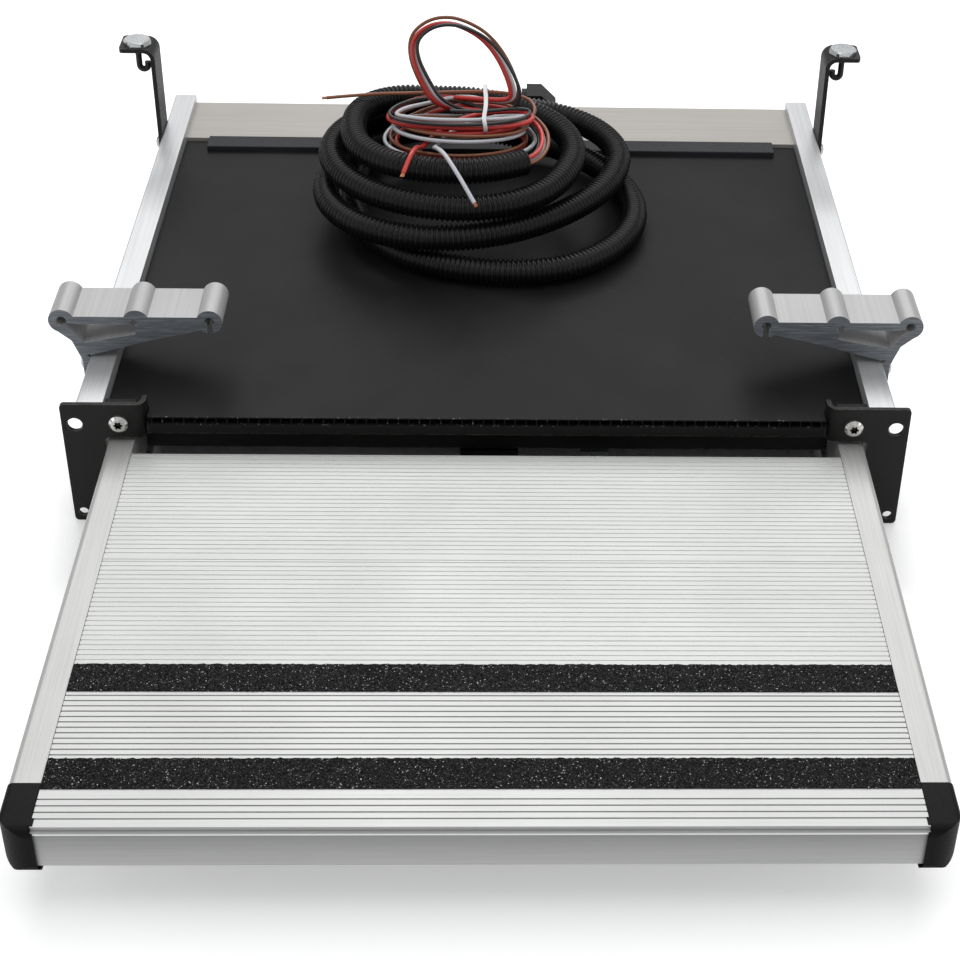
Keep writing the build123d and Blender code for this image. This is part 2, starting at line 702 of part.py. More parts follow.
def limit_switch(y_face, facing):
    """A small switch on a brace, with a button towards the middle of the travel."""
    width, depth, height = SWITCH_SIZE
    y0, y1 = sorted((y_face, y_face - facing * depth))
    low = brace_top
    body = block(SWITCH_X - width / 2, SWITCH_X + width / 2, y0, y1, low, low + SWITCH_RISE + height)
    button = sorted((y_face, y_face + facing * SWITCH_BUTTON))
    z = low + SWITCH_RISE + height / 2
    return body + rod_y(button[0], button[1], SWITCH_X, z, 2.0)


def gearbox():
    """The gear case on the rear brace, with a socket for the lead screw."""
    half = GEARBOX_WIDTH / 2
    y1 = GEARBOX_START + GEARBOX_DEPTH
    high = brace_top + GEARBOX_HEIGHT
    section = rect(-half, half, brace_top, high)
    section = rounded(section, [(-half, high), (half, high)], 5.0)
    case = along_y(section, GEARBOX_START, y1)
    case += block(-half - 9, half + 9, GEARBOX_START + 4, y1 - 4, brace_top, brace_top + 3)
    return case - rod_y(GEARBOX_START - 1, GEARBOX_START + SOCKET_DEPTH, 0, SCREW_AXIS_Z,
                        JOURNAL_RADIUS + RUNNING_FIT)


def motor():
    """The round motor behind the gear case."""
    y0 = GEARBOX_START + GEARBOX_DEPTH
    z = brace_top + MOTOR_RADIUS + STRAP_THICK
    can = rod_y(y0, y0 + MOTOR_LENGTH, 0, z, MOTOR_RADIUS)
    can = chamfer(can.edges().filter_by(GeomType.CIRCLE).group_by(Axis.Y)[-1], 2.0)
    return can + rod_y(y0 + MOTOR_LENGTH, y0 + MOTOR_LENGTH + 3, 0, z, 5.0)


def motor_strap():
    """The strap that holds the motor down on the rear brace."""
    z = brace_top + MOTOR_RADIUS + STRAP_THICK
    outer = MOTOR_RADIUS + STRAP_THICK
    section = disc(0, z, outer) + rect(-outer, outer, brace_top, z)
    section += rect(-outer - 10, outer + 10, brace_top, brace_top + STRAP_THICK)
    section -= disc(0, z, MOTOR_RADIUS)
    section -= rect(-MOTOR_RADIUS, MOTOR_RADIUS, brace_top, z)
    middle = GEARBOX_START + GEARBOX_DEPTH + MOTOR_LENGTH / 2
    return along_y(section, middle - STRAP_WIDTH / 2, middle + STRAP_WIDTH / 2)


# Glides

def glide_tongue(reach, fit):
    """The part of a glide that lies in the groove along the tread rail's outer face."""
    half = GUIDE_GROOVE_HEIGHT / 2 - fit
    groove_in = tread_out - GUIDE_GROOVE_DEPTH
    return rect(groove_in + reach, tread_out + 1, tread_middle - half, tread_middle + half)


def front_glide():
    """The fixed glide at the mouth of the housing, keyed into the tread rail's groove."""
    section = rect(tread_out + SLIDE_GAP, web_in, channel_bottom, channel_top)
    section += glide_tongue(SLIDE_GAP, SLIDE_GAP)
    return along_y(section, GLIDE_START, GLIDE_START + GLIDE_LENGTH)


def rear_glide():
    """The glide on the rear end of the tread rail, which runs between the housing rail's ribs."""
    section = rect(tread_out, web_in - SLIDE_GAP, channel_bottom + SLIDE_GAP, channel_top - SLIDE_GAP)
    section = section + glide_tongue(0, 0)
    return along_y(section, TREAD_OVERLAP - REAR_GLIDE_LENGTH, TREAD_OVERLAP)


# Tread

def port_places(y_rear):
    """Y of a plank's two screw ports."""
    middle = y_rear - PLANK_DEPTH / 2
    return [middle - PORT_SPREAD / 2, middle + PORT_SPREAD / 2]


def plank_section(y_rear, y_front, height, groove_places):
    """A hollow plank section in Y and Z, ribbed on top, with two screw ports on its webs."""
    low = tread_top - height
    section = rect(y_front, y_rear, low, tread_top)
    webs = port_places(y_rear)
    edges = [y_front + PLANK_WALL, *webs, y_rear - PLANK_WALL]
    for n in range(len(edges) - 1):
        start = edges[n] + (PLANK_WALL / 2 if n else 0)
        end = edges[n + 1] - (PLANK_WALL / 2 if n < len(edges) - 2 else 0)
        section -= rect(start, end, low + PLANK_WALL, tread_top - PLANK_SKIN)
    for y in webs:
        section += disc(y, tread_middle, PORT_RADIUS)
        section -= drilling(y, tread_middle, PLANK_SCREW / 2 + SCREW_FIT)
    grooves = Sketch() + [
        rect(y - GROOVE_WIDTH / 2, y + GROOVE_WIDTH / 2, tread_top - GROOVE_DEPTH, tread_top + 1)
        for y in groove_places
    ]
    return section - grooves


def grooves_between(y_rear, y_front):
    """Places of the fine grooves on a stretch of the tread."""
    count = int((y_rear - y_front) / RIB_PITCH)
    return [y_rear - RIB_PITCH * (n + 0.5) for n in range(count)]


def tongue(y, fit):
    """The edge that hooks a plank into the one in front of it."""
    z = tread_top - PLANK_HEIGHT / 2
    half = TONGUE / 2 + fit
    return rect(y - TONGUE - fit, y + 0.01, z - half, z + half)


def plank(number):
    """A plain ribbed plank, counted from the rear."""
    y_rear = plank_rear - number * (PLANK_DEPTH + PLANK_SEAM)
    y_front = y_rear - PLANK_DEPTH
    section = plank_section(y_rear, y_front, PLANK_HEIGHT, grooves_between(y_rear, y_front))
    section += tongue(y_front, 0) & rect(y_front - TONGUE, y_front + 0.01, tread_bottom, tread_top)
    half = tread_in - PLANK_END_GAP
    return along_x(section, -half, half)


def grip_front(number):
    """Front edge of a grip strip, counted from the nose."""
    return nose_front + GRIP_SETBACK + number * GRIP_PITCH


def nose():
    """The front plank: fine and coarse ribs, a stepped front edge and a plain face."""
    y_rear = nose_front + PLANK_DEPTH
    coarse = [nose_front + 1.0 + NOSE_RIB_PITCH * (n + 1) for n in range(NOSE_RIB_COUNT)]
    fine = grooves_between(y_rear, grip_front(0) + GRIP_WIDTH)
    section = plank_section(y_rear, nose_front, PLANK_HEIGHT, fine + coarse)
    low = tread_top - NOSE_HEIGHT
    ledge_z = tread_top - NOSE_LEDGE_DROP
    face = nose_front - NOSE_LEDGE + NOSE_FACE_STEP
    front = shape([
        (nose_front + PLANK_WALL, ledge_z), (ledge_front, ledge_z), (ledge_front, ledge_z - NOSE_LIP_HEIGHT),
        (face, ledge_z - NOSE_LIP_HEIGHT), (face, low + 1.0), (face + 1.0, low), (nose_front + 7, low),
        (nose_front + 7, low + PLANK_WALL), (nose_front + PLANK_WALL, low + PLANK_WALL),
    ])
    section += front
    section += rect(nose_front + 7 - PLANK_WALL, nose_front + 7, low, tread_top - PLANK_HEIGHT + 0.5)
    section = section - tongue(y_rear + 0.01, TONGUE_FIT)
    half = tread_in - PLANK_END_GAP
    return along_x(section, -half, half)


def middle_plank():
    """The middle plank, slotted at the rear for the tongue of the plank behind it."""
    y_rear = plank_rear - PLANK_DEPTH - PLANK_SEAM
    half = tread_in - PLANK_END_GAP
    return plank(1) - along_x(tongue(y_rear + 0.01, TONGUE_FIT), -half - 1, half + 1)


def grip_strip(number):
    """A black strip of grit along the tread."""
    y0 = grip_front(number)
    half = tread_in - PLANK_END_GAP
    return block(-half, half, y0, y0 + GRIP_WIDTH, tread_top, tread_top + GRIP_THICK)


def tread_rail_profile():
    """The tread's side rail in X and Z: a hollow bar with a rounded outer edge and a guide groove."""
    wall = TREAD_RAIL_WALL
    section = rect(tread_in, tread_out, tread_bottom, tread_top)
    section = rounded(section, [(tread_out, tread_top)], TREAD_RAIL_ROUND)
    section = rounded(section, [(tread_out, tread_bottom)], 1.0)
    half = GUIDE_GROOVE_HEIGHT / 2
    groove_in = tread_out - GUIDE_GROOVE_DEPTH
    hollow = rect(tread_in + wall, tread_out - wall, tread_bottom + wall, tread_top - wall)
    hollow -= rect(groove_in - wall, tread_out, tread_middle - half - wall, tread_middle + half + wall)
    section -= hollow
    return section - rect(groove_in, tread_out + 1, tread_middle - half, tread_middle + half)


def plank_screw_ys():
    """Y of every screw that holds a plank between the side rails."""
    rears = [plank_rear - n * (PLANK_DEPTH + PLANK_SEAM) for n in range(3)]
    return [y for rear in rears for y in port_places(rear) if y > cap_rear + 4]


def countersink(y):
    """The many-sided cone of a plank screw's flush head."""
    seat = tread_out - GUIDE_GROOVE_DEPTH
    rings = [(seat - PLANK_SCREW_SINK, PLANK_SCREW / 2 + SCREW_FIT), (seat, PLANK_SCREW_HEAD / 2)]
    planes = [Plane(origin=(x, 0, 0), x_dir=(0, 1, 0), z_dir=(1, 0, 0)) for x, _ in rings]
    return loft([plane * drilling(y, tread_middle, r) for plane, (_, r) in zip(planes, rings)], ruled=True)


def plank_screw(y):
    """A flush screw from the guide groove into a plank's port."""
    seat = tread_out - GUIDE_GROOVE_DEPTH
    shank = pin(y, tread_middle, PLANK_SCREW / 2)
    return countersink(y) + along_x(shank, seat - PLANK_SCREW_LENGTH, seat - PLANK_SCREW_SINK / 2)


def tread_rail():
    """The right-hand side rail of the tread, countersunk for the planks' screws."""
    rail = along_y(tread_rail_profile(), cap_rear, TREAD_OVERLAP)
    seat = tread_out - GUIDE_GROOVE_DEPTH
    for y in plank_screw_ys():
        rail -= countersink(y)
        rail -= along_x(drilling(y, tread_middle, PLANK_SCREW / 2 + SCREW_FIT), tread_in - 1, seat)
    return rail


def end_cap():
    """The moulded cap on the front end of a side rail, rounded in all three views."""
    low = tread_top - NOSE_HEIGHT - CAP_DROP
    high = tread_top + CAP_PROUD
    outer = tread_out + CAP_PROUD
    plan = rect(tread_in, outer, cap_front, cap_rear)
    plan = rounded(plan, [(outer, cap_front)], CAP_CORNER)
    side = rect(cap_front, cap_rear, low, high)
    side = rounded(side, [(cap_front, high), (cap_front, low)], CAP_EDGE)
    front = rect(tread_in - CAP_LIP, outer, low, high)
    front = rounded(front, [(outer, high)], TREAD_RAIL_ROUND)
    front = rounded(front, [(outer, low)], CAP_EDGE + 3.0)
    plan_wide = plan + rect(tread_in - CAP_LIP, tread_in, cap_front, cap_rear)
    plan_wide = rounded(plan_wide, [(tread_in - CAP_LIP, cap_front)], 1.5)
    cap = along_z(plan_wide, low, high) & along_x(side, tread_in - CAP_LIP, outer)
    cap = cap & along_y(front, cap_front, cap_rear)
    under = tread_top - NOSE_HEIGHT
    inner = tread_in - CAP_LIP - 1
    cap -= block(inner, tread_in, cap_front + CAP_WRAP_DEPTH, cap_rear, under, high + 1)
    cap -= block(inner, tread_in, ledge_front - SCREW_FIT, cap_rear, under, tread_top + SCREW_FIT)
    cap -= block(inner, tread_in - CAP_WRAP, cap_front - 1, cap_rear, under, high + 1)
    fit = CAP_PLUG_FIT
    wall = TREAD_RAIL_WALL
    plug_out = tread_out - GUIDE_GROOVE_DEPTH - wall - fit
    cap += block(tread_in + wall + fit, plug_out, cap_rear - 1, cap_rear + CAP_PLUG,
                 tread_bottom + wall + fit, tread_top - wall - fit)
    return cap


# Conduit and wires

def route_tube(points, radius):
    """A tube on straight runs joined by arcs as large as the runs allow."""
    points = [Vector(*p) for p in points]
    radii = []
    for a, b, c in zip(points, points[1:], points[2:]):
        turn = math.radians((b - a).get_angle(c - b))
        shorter = min((b - a).length, (c - b).length)
        radii.append(0.45 * shorter / math.tan(turn / 2))
    print("radii", [round(r, 1) for r in radii])
    line = FilletPolyline(*points, radius=radii)
    wire = Wire(line.edges())
    start = Plane(origin=points[0], z_dir=points[1] - points[0])
    section = start * RegularPolygon(radius, TUBE_SIDES)
    tube = sweep(section, path=wire)
    print("volume ratio", round(tube.volume / (section.area * wire.length), 4))
    return tube


def cable_gland():
    """The elbow on the rear profile that the conduit leaves sideways."""
    z = profile_top + GLAND_RISE
    base = rod_z(profile_top, profile_top + 4, GLAND_X, GLAND_Y, GLAND_RADIUS)
    neck = rod_z(panel_bottom - 3, z, GLAND_X, GLAND_Y, GLAND_RADIUS * 0.6)
    half = GLAND_RADIUS - 1.5
    bend = block(GLAND_X - half, GLAND_X + half, GLAND_Y - half, GLAND_Y + half, profile_top + 4, z + half)
    bend = chamfer(bend.edges().filter_by(Axis.Y).group_by(Axis.Z)[-1].sort_by(Axis.X)[-1], half)
    spout = rod_x(GLAND_X - GLAND_REACH, GLAND_X - half, GLAND_Y, z, half)
    return base + neck + bend + spout


conduit_exit = (GLAND_X - GLAND_REACH, GLAND_Y, profile_top + GLAND_RISE)

CONDUIT_ROUTE = [
    conduit_exit, (-3.0, 382.5, 22.0), (-29.0, 376.0, 21.5), (-54.0, 358.0, 21.0), (-74.0, 330.0, 20.5),
]


def ring_outline(x, y, a, b):
    """A coil's outline seen from above, as a many-sided oval."""
    turns = [2 * math.pi * n / COIL_SIDES for n in range(COIL_SIDES)]
    return shape([(x + a * math.cos(t), y + b * math.sin(t)) for t in turns])


def conduit_coil():
    """The outer shape of the coiled conduit on the cover: a leaning ring that narrows upwards."""
    z0 = panel_top + 0.1
    outside = [(z0, -1, 237, 106, 93), (z0 + 5, -2, 240, 106, 93), (31, -4, 250, 105, 102), (72.5, -22, 249, 80, 68)]
    inside = [(z0, -14, 240, 72, 61), (z0 + 5, -15, 242, 70, 61), (31, -18, 250, 62, 60), (72.5, -22, 249, 58, 44)]

    def body(levels):
        return loft([Pos(0, 0, level[0]) * ring_outline(*level[1:]) for level in levels], ruled=True)

    return body(outside) - body(inside)


def wire_hank():
    """The outer shape of the wound wires that lie in the top of the coil."""
    return Pos(0, 0, 57.0) * extrude(ring_outline(-20, 248, 60, 40), amount=18.0)


LOOP_ROUTE = [
    (-36.0, 260.0, 70.0), (-47.2, 263.0, 83.2), (-50.3, 265.5, 101.7), (-43.5, 267.0, 119.1),
    (-28.6, 268.0, 130.5), (-10.0, 267.5, 132.6), (7.0, 265.5, 124.8), (17.6, 262.5, 109.4),
    (18.7, 259.0, 90.7), (17.0, 255.0, 73.0),
]
BROWN_END = [(-24.0, 269.0, 75.3), (-50.0, 272.0, 77.2), (-78.0, 274.0, 77.8), (-108.0, 271.0, 76.0)]
RED_END = [(-43.0, 212.5, 73.5), (-46.0, 198.5, 77.0), (-50.0, 184.5, 76.5), (-54.0, 175.5, 71.0)]
WHITE_END = [
    (-38.0, 212.0, 73.5), (-34.0, 197.5, 77.5), (-27.0, 183.0, 77.0), (-19.0, 169.0, 69.5), (-10.0, 158.0, 60.5),
]

save_pair("housing_rail", housing_rail())
save_pair("rail_end_block", end_block())
save_pair("fascia_ear", ear_plate())
save("ear_screws", both_sides(ear_screw()))
save("top_cover_panel", cover_panel())
save("front_cross_bar", front_bar())
save("rear_cross_profile", rear_profile())
save("cover_clamp_strip", cover_strip())
save("front_brace", brace(rail_start, FRONT_BRACE_DEPTH))
save("rear_brace", brace(REAR_BRACE_START, REAR_BRACE_DEPTH))
save_pair("rear_hanger", rear_hanger())
save_pair("hook_bolt", hook_bolt())
save("hook_nuts", both_sides(hook_nut()))
save_pair("clamp_bracket", clamp_bracket())
save("hanger_screws", screw_group([side_screw(web_out + HANGER_THICK, *p) for p in hanger_screw_places()]))
save("bracket_screws", screw_group([side_screw(web_out + BRACKET_LEG, *p) for p in bracket_screw_places()]))
save("flange_screws", screw_group([side_screw(web_out + FASCIA_THICK, *p) for p in flange_screw_places()]))
save("brace_screws", screw_group([brace_screw(*p) for p in brace_screw_places()]))
save("screw_bearing_block", bearing_block())
save("drive_gearbox", gearbox())
save("drive_motor", motor())
save("motor_strap", motor_strap())
save("front_limit_switch", limit_switch(front_switch_y, 1))
save("rear_limit_switch", limit_switch(rear_switch_y, -1))
save_pair("front_glide", front_glide())
save("lead_screw", lead_screw())

save_pair("tread_rail", tread_rail())
save("rear_plank", plank(0))
save("middle_plank", middle_plank())
save("nose_plank", nose())
save("front_grip_strip", grip_strip(0))
save("rear_grip_strip", grip_strip(1))
save_pair("end_cap", end_cap())
save("plank_screws", screw_group([plank_screw(y) for y in plank_screw_ys()]))
save("tread_crossbar", crossbar())
save("tread_rear_tie", rear_tie())
save("drive_nut", drive_nut())
save("switch_trip", switch_trip())
save_pair("rear_glide", rear_glide())

save("cable_gland", cable_gland())
save("conduit_lead", route_tube(CONDUIT_ROUTE, CONDUIT / 2))
save("conduit_coil", conduit_coil())
save("wire_hank", wire_hank())
save("wire_loop", route_tube(LOOP_ROUTE, WIRE_BUNDLE / 2))
save("brown_wire_end", route_tube(BROWN_END, WIRE / 2))
save("red_wire_end", route_tube(RED_END, WIRE / 2))
save("white_wire_end", route_tube(WHITE_END, WIRE / 2))
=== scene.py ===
import math
import random

import bmesh
import bpy
from mathutils import Matrix, Vector


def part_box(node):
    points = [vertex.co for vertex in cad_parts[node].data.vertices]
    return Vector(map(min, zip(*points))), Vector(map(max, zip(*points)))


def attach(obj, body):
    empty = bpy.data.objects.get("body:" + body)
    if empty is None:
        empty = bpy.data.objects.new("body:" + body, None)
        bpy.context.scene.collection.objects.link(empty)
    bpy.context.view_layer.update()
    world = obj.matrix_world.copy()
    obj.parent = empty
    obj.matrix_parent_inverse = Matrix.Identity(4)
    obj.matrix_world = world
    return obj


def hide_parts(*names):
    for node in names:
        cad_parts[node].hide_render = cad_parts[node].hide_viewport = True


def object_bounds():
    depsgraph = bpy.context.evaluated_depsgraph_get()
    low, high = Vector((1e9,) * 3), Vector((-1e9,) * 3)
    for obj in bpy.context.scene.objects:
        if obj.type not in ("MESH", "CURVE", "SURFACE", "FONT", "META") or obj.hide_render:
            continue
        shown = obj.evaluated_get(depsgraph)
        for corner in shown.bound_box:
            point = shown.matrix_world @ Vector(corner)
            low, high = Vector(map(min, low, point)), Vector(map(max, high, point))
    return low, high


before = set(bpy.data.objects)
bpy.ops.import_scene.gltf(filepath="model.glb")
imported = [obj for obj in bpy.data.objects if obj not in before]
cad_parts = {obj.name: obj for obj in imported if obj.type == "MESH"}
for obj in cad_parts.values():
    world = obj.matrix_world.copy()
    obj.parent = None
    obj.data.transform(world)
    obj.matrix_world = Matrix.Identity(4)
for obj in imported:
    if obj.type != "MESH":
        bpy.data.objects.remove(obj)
cad_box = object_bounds()

# Camera. It stands above the entrance and looks down at the drawn-out tread, as the photograph does.
# Its place was fitted to the corners of the tread, the ears and the housing.
camera_place = Vector((0.00543, -0.91493, 0.61736))
CAMERA_FOCUS_PX = 1949.6
CAMERA_YAW = math.radians(2.646)
CAMERA_PITCH = math.radians(35.540)
CAMERA_ROLL = math.radians(1.833)
CAMERA_CENTRE_PX = (571.4, 480.7)
FRAME_PX = 960
SENSOR_MM = 36.0

side_flat = Vector((math.cos(CAMERA_YAW), -math.sin(CAMERA_YAW), 0.0))
forward_flat = Vector((math.sin(CAMERA_YAW), math.cos(CAMERA_YAW), 0.0))
camera_forward = forward_flat * math.cos(CAMERA_PITCH) - Vector((0.0, 0.0, math.sin(CAMERA_PITCH)))
camera_upright = side_flat.cross(camera_forward)
camera_side = side_flat * math.cos(CAMERA_ROLL) + camera_upright * math.sin(CAMERA_ROLL)
camera_top = camera_upright * math.cos(CAMERA_ROLL) - side_flat * math.sin(CAMERA_ROLL)
camera_data = bpy.data.cameras.new("view_from_entrance")
camera_data.sensor_width = SENSOR_MM
camera_data.lens = SENSOR_MM * CAMERA_FOCUS_PX / FRAME_PX
camera_data.shift_x = (FRAME_PX / 2 - CAMERA_CENTRE_PX[0]) / FRAME_PX
camera_data.shift_y = (CAMERA_CENTRE_PX[1] - FRAME_PX / 2) / FRAME_PX
camera_data.clip_start = 0.02
camera = bpy.data.objects.new("view_from_entrance", camera_data)
turn = Matrix((camera_side, camera_top, -camera_forward)).transposed()
camera.matrix_world = Matrix.Translation(camera_place) @ turn.to_4x4()
bpy.context.scene.collection.objects.link(camera)
bpy.context.scene.camera = camera


# Floor. A plain, almost white sweep under the rails' feet, with nothing on it. It is matt, and the
# camera sees it glow a little, except in the field under the housing, where the shadow lies.
FLOOR_HALF = 20.0
FLOOR_GAP = 0.0002
PAPER_GLOW = 0.34
SHADE_SOFT = 0.06
# Middle and half size of the shaded field, across the step and along the slide.
shaded_field = {"X": (0.0, 0.20), "Y": (0.17, 0.19)}


def make_mesh_object(name, vertices, faces):
    """A new object at the origin, with its place in its mesh."""
    mesh = bpy.data.meshes.new(name)
    mesh.from_pydata(vertices, [], faces)
    mesh.update()
    piece = bpy.data.objects.new(name, mesh)
    bpy.context.scene.collection.objects.link(piece)
    return piece


def new_finish(name, colour, roughness, metallic=0.0, **sockets):
    """A material with its Principled shader, ready for a pattern."""
    material = bpy.data.materials.new(name)
    material.use_nodes = True
    shader = material.node_tree.nodes["Principled BSDF"]
    shader.inputs["Base Color"].default_value = (*colour, 1.0)
    shader.inputs["Roughness"].default_value = roughness
    shader.inputs["Metallic"].default_value = metallic
    for socket, value in sockets.items():
        shader.inputs[socket.replace("_", " ")].default_value = value
    return material, shader


def link(material, source, target):
    material.node_tree.links.new(source, target)


def add_node(tree, kind, given, **settings):
    """A node with its settings. Each given input is joined to a socket or set to a value."""
    node = tree.nodes.new(kind)
    for setting, value in settings.items():
        setattr(node, setting, value)
    for name, value in given.items():
        if isinstance(value, bpy.types.NodeSocket):
            tree.links.new(value, node.inputs[name])
        else:
            node.inputs[name].default_value = value
    return node


def sum_node(tree, operation, *terms):
    """One step of arithmetic in a tree. Each term is a socket or a number."""
    return add_node(tree, "ShaderNodeMath", dict(enumerate(terms)), operation=operation).outputs[0]


def share_between(tree, value, low, high):
    """0 below the low value, 1 above the high one."""
    given = {"Value": value, "From Min": low, "From Max": high}
    return add_node(tree, "ShaderNodeMapRange", given).outputs["Result"]


def own_place(tree):
    """The piece's own coordinates, in metres."""
    return tree.nodes.new("ShaderNodeTexCoord").outputs["Object"]


def part_of_place(material, axis):
    """One of the piece's own coordinates."""
    tree = material.node_tree
    return add_node(tree, "ShaderNodeSeparateXYZ", {"Vector": own_place(tree)}).outputs[axis]


floor_z = cad_box[0][2] - FLOOR_GAP
corners = [(x * FLOOR_HALF, y * FLOOR_HALF, floor_z) for x, y in ((-1, -1), (1, -1), (1, 1), (-1, 1))]
floor = make_mesh_object("floor", corners, [(0, 1, 2, 3)])
floor_paper, floor_shader = new_finish("pale_paper", (0.95, 0.95, 0.95), 0.9, Emission_Strength=PAPER_GLOW)
paper = floor_paper.node_tree
outside = []
for axis, (middle, half) in shaded_field.items():
    away = sum_node(paper, "SUBTRACT", part_of_place(floor_paper, axis), middle)
    outside.append(share_between(paper, sum_node(paper, "ABSOLUTE", away), half, half + SHADE_SOFT))
for_camera = paper.nodes.new("ShaderNodeLightPath").outputs["Is Camera Ray"]
glow = sum_node(paper, "MULTIPLY", sum_node(paper, "MAXIMUM", *outside), for_camera)
link(floor_paper, glow, floor_shader.inputs["Emission Color"])
floor.data.materials.append(floor_paper)


# Studio light. A large soft box above the rear, one above the entrance and one at each side.
# A pale, even room fills the shadows.
def soft_box(name, place, aim, size, power):
    """A rectangular area light that points at a place."""
    data = bpy.data.lights.new(name, "AREA")
    data.shape = "RECTANGLE"
    data.size, data.size_y = size
    data.energy = power
    light = bpy.data.objects.new(name, data)
    light.location = place
    light.rotation_euler = (Vector(aim) - Vector(place)).to_track_quat("-Z", "Y").to_euler()
    bpy.context.scene.collection.objects.link(light)


soft_box("rear_box", (0.1, 1.9, 1.9), (0.0, 0.1, 0.0), (2.6, 1.8), 31)
soft_box("top_box", (0.0, -0.2, 2.4), (0.0, 0.0, 0.0), (2.4, 2.4), 21)
soft_box("left_box", (-2.2, -0.4, 1.2), (0.0, 0.0, 0.0), (1.6, 1.4), 8)
soft_box("right_box", (2.2, -0.2, 1.2), (0.0, 0.0, 0.0), (1.6, 1.4), 8)
soft_box("entrance_box", (0.0, -2.2, 0.5), (0.0, 0.0, -0.02), (2.4, 0.9), 1.5)
room = bpy.data.worlds.new("pale_room")
room.use_nodes = True
room_light = room.node_tree.nodes["Background"]
room_light.inputs["Color"].default_value = (0.97, 0.98, 1.0, 1.0)
room_light.inputs["Strength"].default_value = 0.42
bpy.context.scene.world = room
bpy.context.scene.view_settings.view_transform = "Standard"


# Corrugated conduit. Black polypropylene, 17 mm outside, slit-free, with rings about 3 mm apart.
# It comes out of the elbow on the rear profile, runs round the coil's back and winds up in three
# and a third uneven turns, each lying on the one below, to its cut end.
# Routes and wires are given in millimetres.
MM_PER_M = 1000
CONDUIT = 0.017
CONDUIT_BORE = 0.0125
RING_PITCH = 0.0031
RING_DEPTH = 0.0012
MOUTH_DEPTH = 0.012
MOUTH_CLOSED = 0.0006
coil_centre = (-5.0, 250.0)
conduit_start = [
    (21.0, 383.0, 22.5), (-3.0, 382.5, 22.0), (-29.0, 376.0, 21.5), (-54.0, 358.0, 20.5),
    (-75.0, 333.0, 19.0), (-87.0, 305.0, 14.6), (-91.5, 278.0, 14.2),
]
# Radius of the coil about its centre, and its height, at even steps from the left side on.
LISTED_EVERY = 30
coil_radii = [
    86.5, 88.0, 93.0, 97.5, 107.5, 106.5, 100.0, 92.0, 87.0, 85.5, 87.0, 93.0,
    102.5, 109.5, 99.0, 83.0, 73.5, 74.5, 86.0, 102.0, 99.5, 87.0, 86.0, 96.0,
    101.5, 95.5, 86.0, 79.5, 70.5, 60.5, 59.3, 60.0, 57.5, 56.5, 59.5, 85.0,
    85.5, 83.0, 69.0, 59.5, 52.0, 49.0,
]
coil_heights = [
    14.2, 14.2, 14.2, 14.2, 14.2, 14.2, 14.2, 15.5, 19.0, 24.0, 28.8, 32.2,
    31.8, 31.6, 31.4, 31.4, 31.4, 31.4, 31.6, 33.0, 36.5, 41.0, 45.3, 48.8,
    49.0, 48.8, 48.6, 48.6, 48.6, 48.7, 49.0, 51.0, 55.0, 59.5, 63.0, 65.0,
    65.2, 65.2, 65.0, 65.0, 64.0, 63.0,
]
COIL_STEP = 20
COIL_STEPS = 60


def smooth_between(values, place):
    """A value between the listed ones, on a curve that passes through them."""
    last = len(values) - 1
    n = min(int(place), last - 1)
    share = place - n
    a, b, c, d = (values[min(max(n + k, 0), last)] for k in (-1, 0, 1, 2))
    return b + 0.5 * share * (c - a + share * (2 * a - 5 * b + 4 * c - d + share * (3 * (b - c) + d - a)))


def spline_of(name, points):
    """A smooth open curve with these control points, in metres."""
    curve = bpy.data.curves.new(name, "CURVE")
    curve.dimensions = "3D"
    spline = curve.splines.new("NURBS")
    spline.points.add(len(points) - 1)
    for slot, point in zip(spline.points, points):
        slot.co = (*point, 1.0)
    spline.order_u = 3
    spline.use_endpoint_u = True
    spline.resolution_u = 8
    piece = bpy.data.objects.new(name, curve)
    bpy.context.scene.collection.objects.link(piece)
    return piece


def points_along(curve_object):
    """The points of a curve with no bevel, as its spline gives them."""
    mesh = bpy.data.meshes.new_from_object(curve_object)
    points = [vertex.co.copy() for vertex in mesh.vertices]
    bpy.data.meshes.remove(mesh)
    return points


coil_points = []
for step in range(COIL_STEPS + 1):
    angle = COIL_STEP * step
    radius = smooth_between(coil_radii, angle / LISTED_EVERY)
    around = math.radians(angle - 90)
    x = coil_centre[0] + radius * math.sin(around)
    y = coil_centre[1] - radius * math.cos(around)
    coil_points.append((x, y, smooth_between(coil_heights, angle / LISTED_EVERY)))
conduit_route = [Vector(point) / MM_PER_M for point in conduit_start + coil_points]
conduit_line = spline_of("conduit_line", conduit_route)
conduit_path = points_along(conduit_line)


def tree_with(name, *inputs):
    """A Geometry Nodes tree with named inputs, and its first and last node."""
    tree = bpy.data.node_groups.new(name, "GeometryNodeTree")
    tree.interface.new_socket("Geometry", in_out="INPUT", socket_type="NodeSocketGeometry")
    for socket, kind in inputs:
        tree.interface.new_socket(socket, in_out="INPUT", socket_type="NodeSocket" + kind)
    tree.interface.new_socket("Geometry", in_out="OUTPUT", socket_type="NodeSocketGeometry")
    return tree, tree.nodes.new("NodeGroupInput"), tree.nodes.new("NodeGroupOutput")


def end_of_tree(tree, geometry, given, result):
    """Closes a tree: its instances become plain mesh and take the finish."""
    realize = add_node(tree, "GeometryNodeRealizeInstances", {"Geometry": geometry})
    plain = {"Geometry": realize.outputs["Geometry"], "Material": given.outputs["Finish"]}
    paint = add_node(tree, "GeometryNodeSetMaterial", plain)
    tree.links.new(paint.outputs["Geometry"], result.inputs["Geometry"])


